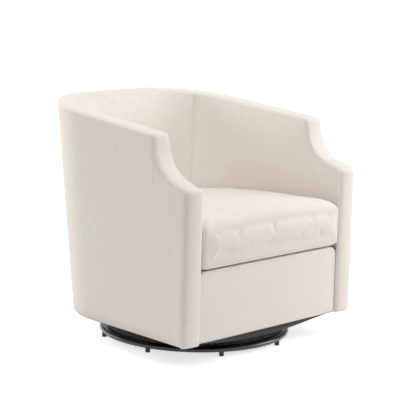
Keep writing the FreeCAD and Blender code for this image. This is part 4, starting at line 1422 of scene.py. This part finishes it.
zip_row(60, -ZIP_HALF, ZIP_HALF, (0.0052, 0.0009, 0.009))
zip_row(150, -0.147, 0.147, (0.0012, 0.0016, 0.0032))
zip_row(1, ZIP_HALF, ZIP_HALF, (0.007, 0.0018, 0.0075))


def zip_paint():
    material, shader, shade = new_finish("zip_tape")
    place = shade.add("TexCoord", output=3)
    thread = mottle(shade, place, 900.0, 3.0, 0.6)
    feed(shade, shader, "Base Color", thread.tint(linear(214, 204, 190), linear(232, 224, 212)))
    feed(shade, shader, "Roughness", 0.6 + thread * 0.25)
    feed(shade, shader, "Normal", bumped(shade, thread, 0.3, 0.0003))
    return material


zipper = new_piece("coil_zipper", zip_points, zip_faces, zip_paint(), smooth=False)
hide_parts("cushion_zipper")
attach(zipper, "cushion")


# Topstitching: polyester thread, a shade deeper than the cloth.
# It runs beside the strip's outer seam, on the pads beside the inner seams, and
# in two rows along the lower edge of the cushion's front.


def thread_paint():
    material, shader, shade = new_finish("sewing_thread", IOR=1.5)
    place = shade.add("TexCoord", output=3)
    twist = mottle(shade, place, 1500.0, 2.0)
    feed(shade, shader, "Base Color", twist.tint(linear(196, 184, 168), linear(222, 212, 198)))
    feed(shade, shader, "Roughness", 0.5 + twist * 0.2)
    return material


def stitch_tree():
    """Nodes that lay one stitch after another along a line."""
    tree = bpy.data.node_groups.new("stitches", "GeometryNodeTree")
    face = tree.interface
    face.new_socket("Geometry", in_out="INPUT", socket_type="NodeSocketGeometry")
    for name, value in (("Pitch", 0.0045), ("Length", 0.0032), ("Thickness", 0.0009)):
        socket = face.new_socket(name, in_out="INPUT", socket_type="NodeSocketFloat")
        socket.default_value = value
    face.new_socket("Thread", in_out="INPUT", socket_type="NodeSocketMaterial")
    face.new_socket("Geometry", in_out="OUTPUT", socket_type="NodeSocketGeometry")
    start = tree.nodes.new("NodeGroupInput")
    end = tree.nodes.new("NodeGroupOutput")

    def node(kind, settings, links):
        made = tree.nodes.new(kind)
        for name, value in settings.items():
            setattr(made, name, value)
        for name, value in links.items():
            if isinstance(value, bpy.types.NodeSocket):
                tree.links.new(value, made.inputs[name])
            else:
                made.inputs[name].default_value = value
        return made

    line = node("GeometryNodeMeshToCurve", {}, {"Mesh": start.outputs["Geometry"]})
    steps = node(
        "GeometryNodeResampleCurve",
        {"mode": "LENGTH"},
        {"Curve": line.outputs[0], "Length": start.outputs["Pitch"]},
    )
    thread = node("GeometryNodeMeshUVSphere", {}, {"Segments": 6, "Rings": 4, "Radius": 0.5})
    shape = node(
        "ShaderNodeCombineXYZ",
        {},
        {
            "X": start.outputs["Thickness"],
            "Y": start.outputs["Thickness"],
            "Z": start.outputs["Length"],
        },
    )
    way = node("GeometryNodeInputTangent", {}, {})
    turned = node("FunctionNodeAlignRotationToVector", {"axis": "Z"}, {"Vector": way.outputs[0]})
    laid = node(
        "GeometryNodeInstanceOnPoints",
        {},
        {
            "Points": steps.outputs[0],
            "Instance": thread.outputs["Mesh"],
            "Rotation": turned.outputs[0],
            "Scale": shape.outputs[0],
        },
    )
    real = node("GeometryNodeRealizeInstances", {}, {"Geometry": laid.outputs[0]})
    dyed = node(
        "GeometryNodeSetMaterial",
        {},
        {"Geometry": real.outputs[0], "Material": start.outputs["Thread"]},
    )
    tree.links.new(dyed.outputs[0], end.inputs[0])
    return tree


thread = thread_paint()
stitching = stitch_tree()


def stitch(name, rows, cloths, body):
    """Rows of stitches laid on the nearest cloth of some pieces."""
    points = []
    edges = []
    for row in rows:
        first = len(points)
        for spot in row:
            nearest = None
            for cloth in cloths:
                found, place, normal, _ = cloth.closest_point_on_mesh(spot)
                if found and (nearest is None or (place - spot).length < nearest[0]):
                    nearest = ((place - spot).length, place + normal * 0.0002)
            points.append(nearest[1])
        edges += [(first + index, first + index + 1) for index in range(len(row) - 1)]
    mesh = bpy.data.meshes.new(name)
    mesh.from_pydata([tuple(point) for point in points], edges, [])
    piece = bpy.data.objects.new(name, mesh)
    bpy.context.scene.collection.objects.link(piece)
    rule = piece.modifiers.new("stitches", "NODES")
    rule.node_group = stitching
    for item in stitching.interface.items_tree:
        if item.in_out == "INPUT" and item.name == "Thread":
            rule[item.identifier] = thread
    laid = bpy.data.meshes.new_from_object(
        piece.evaluated_get(bpy.context.evaluated_depsgraph_get())
    )
    piece.modifiers.remove(rule)
    piece.data = laid
    laid.name = name
    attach(piece, body)


STRIP_STITCH = 0.0085
PAD_STITCH = 0.009
UPRIGHT_STITCH = 0.0055
bpy.context.view_layer.update()
outer_row = []
for outer_point, inner_point in strip_rows[2:-2]:
    across = inner_point - outer_point
    outer_row.append(outer_point + across.normalized() * STRIP_STITCH)
stitch("strip_topstitch", [outer_row], [strip], "chair")

pad_rows = []
for station, height in INNER_EDGE[2:-2]:
    if height < 0.43:
        continue
    spot, out = inner_wall(station, height - 0.002)
    ahead = inner_wall(min(6.0, station + 0.01), height - 0.002)[0]
    way = (ahead - spot).normalized() * (1 if station < 3 else -1)
    level = 1 / edge_slope(spot.y)
    turn_in = math.sqrt(max(0.0, 1 - level * level))
    if station < 1e-6 or station > 6 - 1e-6:
        level, turn_in = 0.0, 1.0
    if spot.z > 0.7 or 0.9 < station < 5.1:
        level, turn_in = 1.0, 0.0
    pad_rows.append(spot + way * PAD_STITCH * turn_in - Vector((0, 0, PAD_STITCH * level)))
stitch("pad_topstitch", [pad_rows], [left_pad, right_pad, back_pad], "chair")
upright_rows = []
beside = math.radians(90) - SEAM_RUN
for seam_line in upright_seams:
    for offset in (-UPRIGHT_STITCH, UPRIGHT_STITCH):
        row = []
        for spot in seam_line[18:]:
            hand = 1 if spot.x > 0 else -1
            side = Vector((math.cos(beside) * hand, -math.sin(beside), 0))
            row.append(spot + side * offset)
        upright_rows.append(row)
stitch("upright_topstitch", upright_rows, [left_pad, right_pad, back_pad], "chair")
lower_rows = []
for level in (0.3095, 0.3190):
    ring = resampled(cushion_ring(0.001, 0.018, 0.001), 400)
    front_part = sorted(
        (spot for spot in ring if spot.y < CUSHION_FRONT + 0.004), key=lambda spot: spot.x
    )
    lower_rows.append([Vector((spot.x, spot.y, level)) for spot in front_part])
stitch("cushion_topstitch", lower_rows, [cushion], "cushion")
